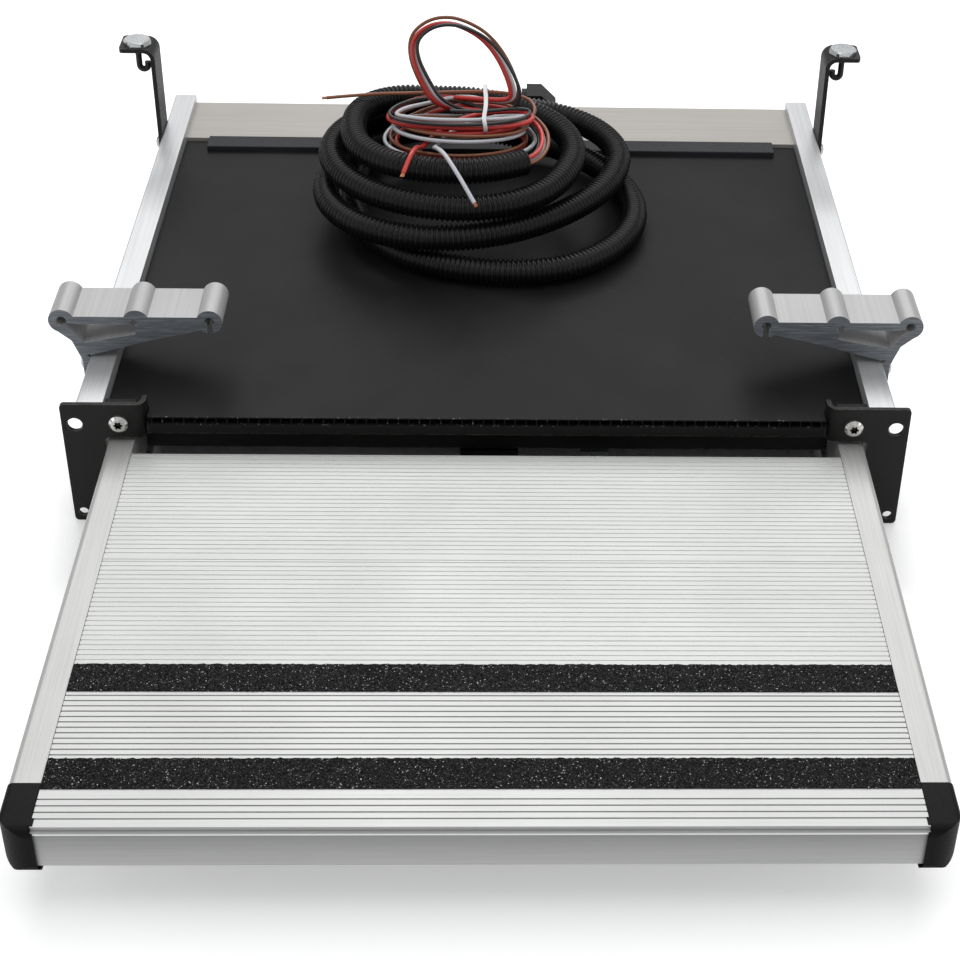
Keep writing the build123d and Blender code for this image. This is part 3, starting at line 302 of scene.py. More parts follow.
def corrugated_tree():
    """Turns a line into a tube with flat-topped rings along its length."""
    tree, given, result = tree_with(
        "corrugated_tube", ("Radius", "Float"), ("Ring pitch", "Float"), ("Ring depth", "Float"),
        ("Finish", "Material"))
    steps_per_ring = 6
    ring_squareness = 1.7
    tube_sides = 14
    pitch = given.outputs["Ring pitch"]
    straight = add_node(
        tree, "GeometryNodeSetCurveNormal", {"Curve": given.outputs["Geometry"]}, mode="MINIMUM_TWIST")
    ring_step = sum_node(tree, "DIVIDE", pitch, steps_per_ring)
    line = add_node(
        tree, "GeometryNodeResampleCurve", {"Curve": straight.outputs["Curve"], "Length": ring_step},
        mode="LENGTH")
    along = tree.nodes.new("GeometryNodeSplineParameter").outputs["Length"]
    turns = sum_node(tree, "DIVIDE", along, pitch)
    wave = sum_node(tree, "COSINE", sum_node(tree, "MULTIPLY", turns, math.tau))
    steep = sum_node(tree, "MULTIPLY", wave, ring_squareness)
    flat = sum_node(tree, "MAXIMUM", sum_node(tree, "MINIMUM", steep, 1.0), -1.0)
    half_depth = sum_node(tree, "MULTIPLY", given.outputs["Ring depth"], 0.5)
    lift = sum_node(tree, "MULTIPLY", sum_node(tree, "SUBTRACT", flat, 1.0), half_depth)
    radius = sum_node(tree, "ADD", given.outputs["Radius"], lift)
    profile = add_node(tree, "GeometryNodeCurvePrimitiveCircle", {"Resolution": tube_sides, "Radius": 1.0})
    sweep = add_node(tree, "GeometryNodeCurveToMesh", {
        "Curve": line.outputs["Curve"], "Profile Curve": profile.outputs["Curve"], "Scale": radius})
    smooth = add_node(tree, "GeometryNodeSetShadeSmooth", {"Geometry": sweep.outputs["Mesh"]})
    end_of_tree(tree, smooth.outputs["Geometry"], given, result)
    return tree


def grown_from(source, tree, name, **values):
    """Runs a tree on an object and returns its result as a plain mesh object."""
    modifier = source.modifiers.new("grow", "NODES")
    modifier.node_group = tree
    for item in tree.interface.items_tree:
        key = item.name.replace(" ", "_")
        if item.item_type == "SOCKET" and item.in_out == "INPUT" and key in values:
            modifier[item.identifier] = values[key]
    source.update_tag()
    bpy.context.view_layer.update()
    shape = source.evaluated_get(bpy.context.evaluated_depsgraph_get())
    mesh = bpy.data.meshes.new_from_object(shape)
    mesh.name = name
    source.modifiers.remove(modifier)
    piece = bpy.data.objects.new(name, mesh)
    bpy.context.scene.collection.objects.link(piece)
    return piece


def shader_group(name, inputs, outputs):
    """An empty group of shader nodes with named sockets."""
    tree = bpy.data.node_groups.new(name, "ShaderNodeTree")
    for socket, value in inputs.items():
        kind = "NodeSocketVector" if isinstance(value, tuple) else "NodeSocketFloat"
        made = tree.interface.new_socket(socket, in_out="INPUT", socket_type=kind)
        made.default_value = value
    for socket in outputs:
        kind = "NodeSocketVector" if socket == "Normal" else "NodeSocketFloat"
        tree.interface.new_socket(socket, in_out="OUTPUT", socket_type=kind)
    return tree, tree.nodes.new("NodeGroupInput"), tree.nodes.new("NodeGroupOutput")


def noise_in(tree, place, size, detail, roughness=0.5):
    """A noise texture at a place, its size a socket or a number."""
    given = {"Vector": place, "Scale": size, "Detail": detail, "Roughness": roughness}
    return add_node(tree, "ShaderNodeTexNoise", given).outputs["Fac"]


def relief_from(tree, height, strength, distance, **below):
    """The normal of a relief, which may lie on another one."""
    given = {"Height": height, "Strength": strength, "Distance": distance, **below}
    return add_node(tree, "ShaderNodeBump", given).outputs["Normal"]


def put_out(tree, result, **values):
    """Joins what a group has made to its outputs."""
    for socket, value in values.items():
        tree.links.new(value, result.inputs[socket])


def grain_group():
    """Moulded or sprayed grain: a fleck mask, a slow cloud and the normal of the grain."""
    tree, given, result = shader_group(
        "fine_grain", {"Place": (0.0, 0.0, 0.0), "Size": 900.0, "Depth": 0.4}, ("Fleck", "Cloud", "Normal"))
    fine = noise_in(tree, given.outputs["Place"], given.outputs["Size"], 3.0)
    bump = relief_from(tree, fine, given.outputs["Depth"], 0.0001)
    cloud = noise_in(tree, given.outputs["Place"], 14.0, 4.0)
    put_out(tree, result, Fleck=fine, Cloud=cloud, Normal=bump)
    return tree


fine_grain = grain_group()


def place_group(material, group, **inputs):
    """A group placed in a material and fed with the piece's own coordinates."""
    given = {socket.replace("_", " "): value for socket, value in inputs.items()}
    given["Place"] = own_place(material.node_tree)
    return add_node(material.node_tree, "ShaderNodeGroup", given, node_tree=group)


def ramp_between(material, source, *stops):
    """A colour ramp from a mask: each stop is a place and a colour or a grey."""
    ramp = material.node_tree.nodes.new("ShaderNodeValToRGB")
    elements = ramp.color_ramp.elements
    while len(elements) < len(stops):
        elements.new(0.5)
    for element, (place, value) in zip(elements, stops):
        element.position = place
        colour = value if isinstance(value, tuple) else (value, value, value)
        element.color = (*colour, 1.0)
    link(material, source, ramp.inputs["Fac"])
    return ramp.outputs["Color"]


def laid_over(material, mask, below, above):
    """A colour over another one, where the mask is 1. Each is a socket or a colour."""
    below, above = ((*side, 1.0) if isinstance(side, tuple) else side for side in (below, above))
    given = {"Factor": mask, 6: below, 7: above}
    return add_node(material.node_tree, "ShaderNodeMix", given, data_type="RGBA").outputs[2]


def laid_on(material, shader, colour=None, roughness=None, relief=None):
    """Feeds a finish's colour, roughness and relief to its shader."""
    for socket, source in (("Base Color", colour), ("Roughness", roughness), ("Normal", relief)):
        if source is not None:
            link(material, source, shader.inputs[socket])


def grained_plastic(name, dark, pale, rough_low, rough_high, size, depth, **sockets):
    """Moulded plastic with a fine grain and a faint bloom."""
    material, shader = new_finish(name, dark, rough_low, **sockets)
    grain = place_group(material, fine_grain, Size=size, Depth=depth)
    colour = ramp_between(material, grain.outputs["Cloud"], (0.35, dark), (0.7, pale))
    rough = ramp_between(material, grain.outputs["Fleck"], (0.3, rough_low), (0.7, rough_high))
    laid_on(material, shader, colour, rough, grain.outputs["Normal"])
    return material


conduit_black = grained_plastic(
    "conduit_black", (0.0045, 0.0045, 0.005), (0.008, 0.008, 0.0085), 0.24, 0.34, 400.0, 0.15,
    Specular_IOR_Level=0.26)
conduit = grown_from(
    conduit_line, corrugated_tree(), "corrugated_conduit",
    Radius=CONDUIT / 2, Ring_pitch=RING_PITCH, Ring_depth=RING_DEPTH, Finish=conduit_black)
bpy.data.objects.remove(conduit_line)

mouth_place = conduit_path[-1]
mouth_heading = (conduit_path[-1] - conduit_path[-4]).normalized()
mouth = bmesh.new()
mouth.from_mesh(conduit.data)
ring = [e for e in mouth.edges if e.is_boundary and (e.verts[0].co - mouth_place).length < CONDUIT]
# Its wall's cut face, its bore and a plug behind the wires, drawn in from the last ring.
for depth, bore in ((0.0, CONDUIT_BORE), (MOUTH_DEPTH, CONDUIT_BORE), (MOUTH_DEPTH, MOUTH_CLOSED)):
    made = bmesh.ops.extrude_edge_only(mouth, edges=ring)
    fresh = [g for g in made["geom"] if isinstance(g, bmesh.types.BMVert)]
    ring = [g for g in made["geom"] if isinstance(g, bmesh.types.BMEdge) and g.is_boundary]
    for vertex in fresh:
        spoke = vertex.co - mouth_place
        spoke -= mouth_heading * spoke.dot(mouth_heading)
        vertex.co = mouth_place + spoke.normalized() * bore / 2 - mouth_heading * depth
bmesh.ops.holes_fill(mouth, edges=[e for e in mouth.edges if e.is_boundary], sides=0)
bmesh.ops.recalc_face_normals(mouth, faces=mouth.faces)
mouth.to_mesh(conduit.data)
mouth.free()
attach(conduit, "housing")
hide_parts("conduit_lead", "conduit_coil")


# Wires. Four stranded copper wires in soft PVC: red, white, brown and black. They come out of the
# conduit's open end, lie in a loose hank in the coil's top, with one turn standing up as a loop,
# and end: brown bare to the left, red and white bare over the conduit in front, black inside the hank.
HANK_X = -20.0
HANK_Y = 246.0
LOOP_MIDDLE = Vector((-16.0, 266.0, 98.0))
BUNDLE = 2.6
# How far the wires start inside the mouth, in millimetres, and the hank's steps and twists, in degrees.
WIRE_INSIDE = 8
TURN_STEP = 30
TWIST_BELOW_LOOP = 170
TWIST_ABOVE_LOOP = -110
WANDER = 9
# A bare core's radius as a share of its wire's thickness, and a strand's as a share of the core's.
BARE_CORE = 0.36
BARE_STRAND = 0.36
STRAND_SIDES = 6
STRAND_STEPS = 3


def hank_turn(start, steps, wide, near, far, heights):
    """Points of one loose turn, in degrees: the front is at 0 and the right end at 90."""
    points = []
    for step in range(steps):
        angle = math.radians(start + TURN_STEP * step)
        reach = near if math.cos(angle) > 0 else far
        z = smooth_between(heights, step * (len(heights) - 1) / (steps - 1))
        points.append((HANK_X + wide * math.sin(angle), HANK_Y - reach * math.cos(angle), z))
    return points


mouth_mm = mouth_place * MM_PER_M
bore_mm = mouth_mm - mouth_heading * WIRE_INSIDE
lead = [tuple(bore_mm), tuple(mouth_mm), (29.0, 214.0, 63.2), (34.0, 228.0, 64.2), (33.0, 246.0, 67.0)]
lead += [(21.0, 262.5, 70.0), (2.0, 273.0, 70.5)]
first_turn = hank_turn(180, 12, 47, 30, 31, [70, 66, 61, 59, 59, 59, 59, 59, 59, 59, 60, 61.5])
second_turn = hank_turn(540, 13, 41, 20, 21, [63, 66, 69, 69.5, 69.5, 69.5, 69.5, 69.5, 69.5, 70])
standing_loop = [
    (-36.5, 260.5, 78.0), (-45.5, 263.0, 93.0), (-51.3, 265.5, 108.0), (-50.5, 267.0, 121.5),
    (-39.5, 268.0, 130.2), (-27.0, 268.0, 132.2), (-15.5, 267.5, 129.0), (-4.0, 266.5, 122.6),
    (5.5, 265.0, 112.0), (12.6, 262.5, 99.4), (17.2, 260.5, 86.0), (13.0, 261.5, 78.4),
    (2.0, 265.0, 76.8),
]
third_turn = hank_turn(180, 10, 45, 14, 29, [75.5, 75.5, 75.0, 75.2, 75.8, 76.3, 76.5, 76.5, 76.3, 76.0])
bundle_line = lead + first_turn + second_turn + standing_loop + third_turn
loop_start = len(lead) + len(first_turn) + len(second_turn)
loop_end = loop_start + len(standing_loop)

# Each wire: its colour, thickness, place in the bundle, places at the loop's two legs and its end.
wires = {
    "red": (0.0030, 45, (-1.5, -0.6), (-2.2, 3.9), [
        (21.0, 254.5, 75.5), (8.0, 258.5, 74.0), (-10.0, 257.5, 72.0), (-27.0, 250.0, 69.0),
        (-38.0, 238.0, 65.5), (-43.0, 225.0, 64.5), (-45.5, 213.0, 69.0), (-46.5, 203.0, 74.5),
        (-48.0, 193.0, 77.3), (-50.5, 184.0, 76.3), (-54.0, 175.5, 70.0)]),
    "white": (0.0027, 225, (0.0, 2.0), (-0.6, 1.4), [
        (18.0, 250.0, 74.5), (6.0, 253.0, 73.0), (-8.0, 251.5, 71.0), (-22.0, 245.0, 68.5),
        (-31.0, 235.0, 65.5), (-35.5, 224.0, 64.5), (-36.5, 212.0, 69.5), (-34.5, 200.0, 76.0),
        (-29.0, 187.0, 78.3), (-23.0, 176.0, 74.0), (-16.5, 167.0, 67.0), (-10.0, 158.0, 59.0)]),
    "brown": (0.0023, 315, (1.5, -2.0), (1.5, -1.0), [
        (29.0, 256.0, 77.5), (23.0, 268.5, 79.5), (4.0, 275.0, 80.3), (-24.0, 274.5, 79.8),
        (-50.0, 273.5, 79.0), (-78.0, 274.0, 78.0), (-108.0, 271.0, 76.0)]),
    "black": (0.0024, 135, (-5.0, 4.5), (-5.0, -3.2), [
        (24.0, 254.0, 77.5), (14.0, 252.0, 78.8), (0.0, 247.5, 79.0), (-14.0, 246.0, 79.2),
        (-26.5, 248.0, 78.5)]),
}
# The PVC's colours, dark and pale.
wire_colours = {
    "red": ((0.47, 0.022, 0.018), (0.60, 0.040, 0.030)),
    "white": ((0.50, 0.51, 0.54), (0.64, 0.65, 0.68)),
    "brown": ((0.19, 0.062, 0.022), (0.27, 0.095, 0.035)),
    "black": ((0.011, 0.011, 0.012), (0.020, 0.020, 0.021)),
}


def bundle_offset(n, place_in_bundle, left_leg, right_leg, wander):
    """How far a wire is from the bundle's line at one of its points: outwards and upwards."""
    twist = TWIST_BELOW_LOOP * math.sin(math.pi * n / loop_start)
    if n > loop_end:
        twist = TWIST_ABOVE_LOOP * math.sin(math.pi * (n - loop_end) / (len(bundle_line) - loop_end))
    angle = math.radians(place_in_bundle + twist + WANDER * math.sin(0.7 * n + wander))
    open_out = min(n / 6, 1.0)
    hank = (BUNDLE * (0.85 + 0.75 * open_out) * math.cos(angle), BUNDLE * 0.85 * math.sin(angle))
    if n < loop_start - 1 or n > loop_end:
        return hank
    if n < loop_start or n == loop_end:
        legs = left_leg if n < loop_start else right_leg
        return (hank[0] + legs[0]) / 2, (hank[1] + legs[1]) / 2
    share = min(max((n - loop_start - 1) / (len(standing_loop) - 4), 0.0), 1.0)
    return tuple(a + share * (b - a) for a, b in zip(left_leg, right_leg))


def face_outwards(piece):
    """Turns a closed piece's faces outwards."""
    shape = bmesh.new()
    shape.from_mesh(piece.data)
    bmesh.ops.recalc_face_normals(shape, faces=shape.faces)
    shape.to_mesh(piece.data)
    shape.free()


def tube_faces(first, rings, sides):
    """The faces of a closed tube whose rings of vertices follow each other."""
    faces = []
    for k in range(rings - 1):
        for n in range(sides):
            a, b = first + k * sides + n, first + k * sides + (n + 1) % sides
            faces.append((a, b, b + sides, a + sides))
    last = first + (rings - 1) * sides
    return faces + [tuple(range(first, first + sides))[::-1], tuple(range(last, last + sides))]


def copper_tip(name, place, heading, radius, seed):
    """A few copper strands, slightly splayed, past the end of the insulation."""
    draw = random.Random(seed)
    side = heading.cross(Vector((0.3, 0.2, 1.0))).normalized()
    other = heading.cross(side)
    vertices, faces = [], []
    strand, around_core = radius * BARE_STRAND, 6
    for n in range(around_core + 1):
        turn = math.tau * n / around_core
        spread = 0.0 if n == around_core else radius * 0.68
        base = side * math.cos(turn) * spread + other * math.sin(turn) * spread
        splay = base * draw.uniform(0.1, 0.6) + side * draw.uniform(-0.1, 0.1) * radius
        long = draw.uniform(0.0030, 0.0042)
        first = len(vertices)
        for k in range(STRAND_STEPS + 1):
            share = k / STRAND_STEPS
            middle = place + heading * (long * k / STRAND_STEPS - 0.001) + base + splay * share ** 2
            for s in range(STRAND_SIDES):
                a = math.tau * s / STRAND_SIDES
                vertices.append(middle + (side * math.cos(a) + other * math.sin(a)) * strand)
        faces += tube_faces(first, STRAND_STEPS + 1, STRAND_SIDES)
    piece = make_mesh_object(name, vertices, faces)
    face_outwards(piece)
    return piece


copper, copper_shader = new_finish("bare_copper", (0.60, 0.26, 0.13), 0.32, 1.0)
grain = place_group(copper, fine_grain, Size=1600.0, Depth=0.3)
tarnish = ramp_between(
    copper, grain.outputs["Fleck"], (0.35, (0.36, 0.13, 0.06)), (0.62, (0.66, 0.30, 0.16)))
laid_on(copper, copper_shader, tarnish, relief=grain.outputs["Normal"])

nodes_of_wire = {
    "red": ("red_wire_end",), "white": ("white_wire_end",), "brown": ("brown_wire_end",),
    "black": ("wire_hank", "wire_loop"),
}
for count, (colour, (thick, place, left_leg, right_leg, end)) in enumerate(wires.items()):
    route = []
    for n, point in enumerate(bundle_line):
        here = Vector(point)
        before = Vector(bundle_line[max(n - 1, 0)])
        after = Vector(bundle_line[min(n + 1, len(bundle_line) - 1)])
        along = (after - before).normalized()
        upward = Vector((0.0, 0.0, 1.0))
        if loop_start <= n < loop_end:
            upward = (LOOP_MIDDLE - here).normalized()
        upward = (upward - along * upward.dot(along)).normalized()
        out, rise = bundle_offset(n, place, left_leg, right_leg, 1.7 * count)
        route.append((here + along.cross(upward) * out + upward * rise) / MM_PER_M)
    route += [Vector(point) / MM_PER_M for point in end]
    wire = spline_of(colour + "_wire", route)
    line = points_along(wire)
    wire.data.bevel_depth = thick / 2
    wire.data.bevel_resolution = 3
    wire.data.use_fill_caps = True
    dark, pale = wire_colours[colour]
    skin = grained_plastic(
        colour + "_pvc", dark, pale, 0.26, 0.38, 700.0, 0.06, Specular_IOR_Level=0.5, Coat_Weight=0.15)
    wire.data.materials.append(skin)
    if colour != "black":
        heading = (line[-1] - line[-3]).normalized()
        tip = copper_tip(colour + "_strands", line[-1], heading, thick * BARE_CORE, 11 + count)
        tip.data.materials.append(copper)
        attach(tip, "housing")
    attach(wire, "housing")
    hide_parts(*nodes_of_wire[colour])


# Hank tie. A narrow band of white PVC that holds the wires' upper turns together. It goes round them
# from front to back and closes on itself.
tie_line = [
    (231.0, 72.0), (228.0, 75.5), (229.5, 79.8), (236.0, 81.2), (250.0, 80.6), (264.0, 82.0),
    (276.0, 83.8), (280.8, 81.0), (280.0, 75.0), (272.0, 72.2), (254.0, 72.6), (240.0, 71.6),
]
TIE_X = -4.2
TIE_WIDTH = 2.6
TIE_THICK = 0.5
TIE_STEPS = 60
TIE_LEAN = 0.5
tie_middle = Vector((254.0, 77.0))
vertices, faces = [], []
for step in range(TIE_STEPS):
    share = step / TIE_STEPS * len(tie_line)
    n = int(share)
    ring_of_points = [tie_line[(n + k) % len(tie_line)] for k in (-1, 0, 1, 2)]
    y, z = (smooth_between([p[axis] for p in ring_of_points], 1 + share - n) for axis in (0, 1))
    out = (Vector((y, z)) - tie_middle).normalized() * TIE_THICK
    lean = TIE_LEAN * math.sin(step * 0.35)
    for x, lift in ((-1, 0), (1, 0), (1, 1), (-1, 1)):
        corner = (TIE_X + lean + x * TIE_WIDTH / 2, y + out.x * lift, z + out.y * lift)
        vertices.append(tuple(value / MM_PER_M for value in corner))
    a, b = 4 * step, 4 * ((step + 1) % TIE_STEPS)
    faces += [(a + k, a + (k + 1) % 4, b + (k + 1) % 4, b + k) for k in range(4)]
tie = make_mesh_object("hank_tie", vertices, faces)
face_outwards(tie)
tie_white = grained_plastic("tie_white", (0.62, 0.63, 0.64), (0.78, 0.78, 0.78), 0.35, 0.5, 500.0, 0.2)
tie.data.materials.append(tie_white)
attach(tie, "housing")


# Cover panel, end blocks, glides and other black plastic. The panel is hollow-core polypropylene
# sheet with its flutes along the slide; its cut front edge shows them, with a few pale crumbs.
def dress(material, *names):
    """Gives CAD pieces their finish."""
    for name in names:
        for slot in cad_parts[name].material_slots:
            slot.material = material


def pair(name):
    return "left_" + name, "right_" + name


def facing(tree, axis):
    """One part of the direction that a surface looks in."""
    normal = tree.nodes.new("ShaderNodeNewGeometry").outputs["Normal"]
    return add_node(tree, "ShaderNodeSeparateXYZ", {"Vector": normal}).outputs[axis]


def dust_group():
    """Dust on faces that look up: fine specks and a faint film, as a mask."""
    tree, given, result = shader_group("settled_dust", {"Place": (0.0, 0.0, 0.0), "Amount": 0.5}, ("Dust",))
    specks = add_node(tree, "ShaderNodeTexVoronoi", {"Vector": given.outputs["Place"], "Scale": 160.0})
    near = sum_node(tree, "SUBTRACT", 1.0, share_between(tree, specks.outputs["Distance"], 0.03, 0.06))
    chosen = add_node(tree, "ShaderNodeSeparateColor", {"Color": specks.outputs["Color"]})
    rare = share_between(tree, chosen.outputs[0], 0.90, 0.97)
    film = share_between(tree, noise_in(tree, given.outputs["Place"], 11.0, 5.0, 0.6), 0.42, 0.80)
    specks_there = sum_node(tree, "MULTIPLY", near, rare)
    both = sum_node(tree, "ADD", specks_there, sum_node(tree, "MULTIPLY", film, 0.06))
    up = share_between(tree, facing(tree, "Z"), 0.3, 0.9)
    lying = sum_node(tree, "MULTIPLY", sum_node(tree, "MULTIPLY", both, up), given.outputs["Amount"])
    put_out(tree, result, Dust=lying)
    return tree


settled_dust = dust_group()


DUST_GREY = (0.42, 0.42, 0.41)
CRUMB_GREY = (0.26, 0.26, 0.25)
CRUMBS_REACH = 0.0012
CRUMBS_FULL = 0.0004
panel_black, panel_shader = new_finish(
    "hollow_core_black", (0.014, 0.014, 0.015), 0.46, Specular_IOR_Level=0.08)
panel_nodes = panel_black.node_tree
panel_place = own_place(panel_nodes)
grain = place_group(panel_black, fine_grain, Size=520.0, Depth=0.22)
dust = place_group(panel_black, settled_dust, Amount=0.30)
cloud = grain.outputs["Cloud"]
bloom = ramp_between(panel_black, cloud, (0.3, (0.008, 0.008, 0.0085)), (0.7, (0.013, 0.013, 0.0135)))
crumbs = share_between(panel_nodes, noise_in(panel_nodes, panel_place, 620.0, 2.0), 0.62, 0.74)
front_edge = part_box("top_cover_panel")[0][1]
at_edge = share_between(
    panel_nodes, part_of_place(panel_black, "Y"), front_edge + CRUMBS_REACH, front_edge + CRUMBS_FULL)
panel_colour = laid_over(panel_black, dust.outputs["Dust"], bloom, DUST_GREY)
panel_colour = laid_over(
    panel_black, sum_node(panel_nodes, "MULTIPLY", crumbs, at_edge), panel_colour, CRUMB_GREY)
flutes = add_node(panel_nodes, "ShaderNodeTexWave", {"Vector": panel_place, "Scale": 52.0})
flute_bump = relief_from(
    panel_nodes, flutes.outputs["Fac"], 0.05, 0.0002, Normal=grain.outputs["Normal"])
panel_rough = ramp_between(panel_black, cloud, (0.3, 0.36), (0.7, 0.48))
laid_on(panel_black, panel_shader, panel_colour, panel_rough, flute_bump)
dress(panel_black, "top_cover_panel")

strip_grey = grained_plastic(
    "strip_grey", (0.020, 0.021, 0.023), (0.030, 0.031, 0.034), 0.45, 0.58, 500.0, 0.2,
    Specular_IOR_Level=0.18)
dress(strip_grey, "cover_clamp_strip")
moulded_black = grained_plastic(
    "moulded_black", (0.006, 0.006, 0.0065), (0.011, 0.011, 0.012), 0.42, 0.54, 700.0, 0.35,
    Specular_IOR_Level=0.2)
dress(moulded_black, *pair("rail_end_block"), "front_limit_switch", "rear_limit_switch", "cable_gland",
      "screw_bearing_block", "drive_nut")
cap_black = grained_plastic(
    "cap_black", (0.0045, 0.0043, 0.0045), (0.0075, 0.0073, 0.0075), 0.42, 0.54, 800.0, 0.45,
    Specular_IOR_Level=0.10)
dress(cap_black, *pair("end_cap"))
glide_nylon = grained_plastic("glide_nylon", (0.62, 0.61, 0.55), (0.74, 0.73, 0.68), 0.38, 0.5, 500.0, 0.2)
dress(glide_nylon, *pair("front_glide"), *pair("rear_glide"))


# Drawn aluminium. Rails, planks and brackets are pushed through a die, which leaves fine lines along
# them, and sawn to length, which leaves grey, scored ends; on the brackets these ends are painted
# much darker and bluer, a painted reflection of the dark parts beside them. Tread and planks are then
# anodised.
def drawn_group():
    """Die lines along a bar and a slow cloud, with the lines' normal."""
    tree, given, result = shader_group(
        "die_lines", {"Place": (0.0, 0.0, 0.0), "Stretch": (1.0, 1.0, 1.0), "Size": 900.0, "Depth": 0.3},
        ("Line", "Cloud", "Normal"))
    both = {0: given.outputs["Place"], 1: given.outputs["Stretch"]}
    stretched = add_node(tree, "ShaderNodeVectorMath", both, operation="MULTIPLY").outputs[0]
    line = noise_in(tree, stretched, given.outputs["Size"], 4.0, 0.6)
    bump = relief_from(tree, line, given.outputs["Depth"], 0.00006)
    cloud = noise_in(tree, given.outputs["Place"], 9.0, 4.0, 0.6)
    put_out(tree, result, Line=line, Cloud=cloud, Normal=bump)
    return tree


def sawn_group():
    """Faces cut across the slide: a mask of them and the saw's scores."""
    tree, given, result = shader_group("sawn_end", {"Place": (0.0, 0.0, 0.0)}, ("Cut", "Score"))
    square = sum_node(tree, "ABSOLUTE", facing(tree, "Y"))
    lean = add_node(tree, "ShaderNodeMapping", {
        "Vector": given.outputs["Place"], "Rotation": (0.0, math.radians(24.0), 0.0),
        "Scale": (0.06, 1.0, 1.0)})
    score = noise_in(tree, lean.outputs["Vector"], 900.0, 3.0, 0.7)
    cut = share_between(tree, square, 0.93, 0.97)
    put_out(tree, result, Cut=cut, Score=share_between(tree, score, 0.42, 0.66))
    return tree


def wear_group():
    """Bright or bare edges: a mask where two faces meet, broken up by noise."""
    tree, given, result = shader_group(
        "worn_edge", {"Place": (0.0, 0.0, 0.0), "Width": 0.0006, "Amount": 1.0}, ("Edge",))
    rounded = add_node(tree, "ShaderNodeBevel", {"Radius": given.outputs["Width"]}, samples=4)
    flat = tree.nodes.new("ShaderNodeNewGeometry").outputs["Normal"]
    meet = add_node(
        tree, "ShaderNodeVectorMath", {0: rounded.outputs["Normal"], 1: flat}, operation="DOT_PRODUCT")
    edge = sum_node(tree, "SUBTRACT", 1.0, share_between(tree, meet.outputs["Value"], 0.80, 0.985))
    patchy = share_between(tree, noise_in(tree, given.outputs["Place"], 260.0, 4.0, 0.65), 0.38, 0.58)
    worn = sum_node(tree, "MULTIPLY", sum_node(tree, "MULTIPLY", edge, patchy), given.outputs["Amount"])
    put_out(tree, result, Edge=worn)
    return tree


die_lines = drawn_group()
sawn_end = sawn_group()
worn_edge = wear_group()
ALONG_SLIDE = (1.0, 0.012, 1.0)
ALONG_TREAD = (0.012, 1.0, 1.0)


def drawn_aluminium(name, dark, pale, rough_low, rough_high, stretch, size, depth, metallic, cut=None):
    """Extruded aluminium with its die lines and, where it is sawn, scored grey ends, painted darker where
    the cut colours hold a painted reflection.
    """
    material, shader = new_finish(name, pale, rough_low, metallic)
    lines = place_group(material, die_lines, Stretch=stretch, Size=size, Depth=depth)
    colour = ramp_between(material, lines.outputs["Line"], (0.34, dark), (0.62, pale))
    hazy = ramp_between(material, lines.outputs["Cloud"], (0.35, rough_low), (0.65, rough_high))
    if cut:
        sawn = place_group(material, sawn_end)
        # The sawn ends take the cut colours: the saw's grey, and on the brackets a painted dark reflection.
        score_and_reflection = ramp_between(material, sawn.outputs["Score"], (0.0, cut[0]), (1.0, cut[1]))
        colour = laid_over(material, sawn.outputs["Cut"], colour, score_and_reflection)
    laid_on(material, shader, colour, hazy, lines.outputs["Normal"])
    return material


mill_rail = drawn_aluminium(
    "mill_rail", (0.57, 0.58, 0.59), (0.64, 0.645, 0.65), 0.28, 0.42, ALONG_SLIDE, 700.0, 0.22, 0.62,
    ((0.28, 0.30, 0.33), (0.60, 0.62, 0.64)))
anodised_rail = drawn_aluminium(
    "anodised_rail", (0.47, 0.467, 0.457), (0.53, 0.527, 0.517), 0.38, 0.46, ALONG_SLIDE, 1100.0, 0.15, 0.45)
anodised_plank = drawn_aluminium(
    "anodised_plank", (0.535, 0.542, 0.528), (0.59, 0.597, 0.582), 0.40, 0.48, ALONG_TREAD, 1200.0, 0.15,
    0.42)
# The brackets' sawn ends are painted dark blue-grey, a painted reflection of the black parts beside them.
bracket_metal = drawn_aluminium(
    "bracket_metal", (0.41, 0.408, 0.405), (0.46, 0.457, 0.453), 0.40, 0.50, ALONG_SLIDE, 500.0, 0.2, 0.35,
    ((0.115, 0.125, 0.14), (0.23, 0.245, 0.265)))
coated_band = drawn_aluminium(
    "coated_band", (0.385, 0.365, 0.335), (0.43, 0.41, 0.38), 0.40, 0.55, ALONG_TREAD, 500.0, 0.25, 0.30)
dress(mill_rail, *pair("housing_rail"))
dress(anodised_rail, *pair("tread_rail"))
dress(anodised_plank, "tread_rear_tie")


def toned_by_height(material, low, high, *stops):
    """Multiplies a finish's colour by a grey that changes over the piece's height, to paint light and shade.
    """
    height = share_between(material.node_tree, part_of_place(material, "Z"), low, high)
    colour = material.node_tree.nodes["Principled BSDF"].inputs["Base Color"]
    given = {"Factor": 1.0, 6: colour.links[0].from_socket, 7: ramp_between(material, height, *stops)}
    toned = add_node(material.node_tree, "ShaderNodeMix", given, data_type="RGBA", blend_type="MULTIPLY")
    link(material, toned.outputs[2], colour)


# The planks' groove floors are painted bright, a painted light that lifts the shade in the grooves; the
# lands between them keep the plain anodised tone.
GROOVES_REACH = 0.002
tread_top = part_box("rear_plank")[1][2]
ribbed_plank = drawn_aluminium(
    "ribbed_plank", (0.90, 0.91, 0.89), (0.97, 0.98, 0.96), 0.40, 0.48, ALONG_TREAD, 1200.0, 0.15, 0.42)
toned_by_height(
    ribbed_plank, tread_top - GROOVES_REACH, tread_top,
    (0.0, 0.60), (0.50, 0.60), (0.54, 1.0), (0.80, 1.0), (0.93, 0.60), (1.0, 0.60))
dress(ribbed_plank, "rear_plank", "middle_plank")
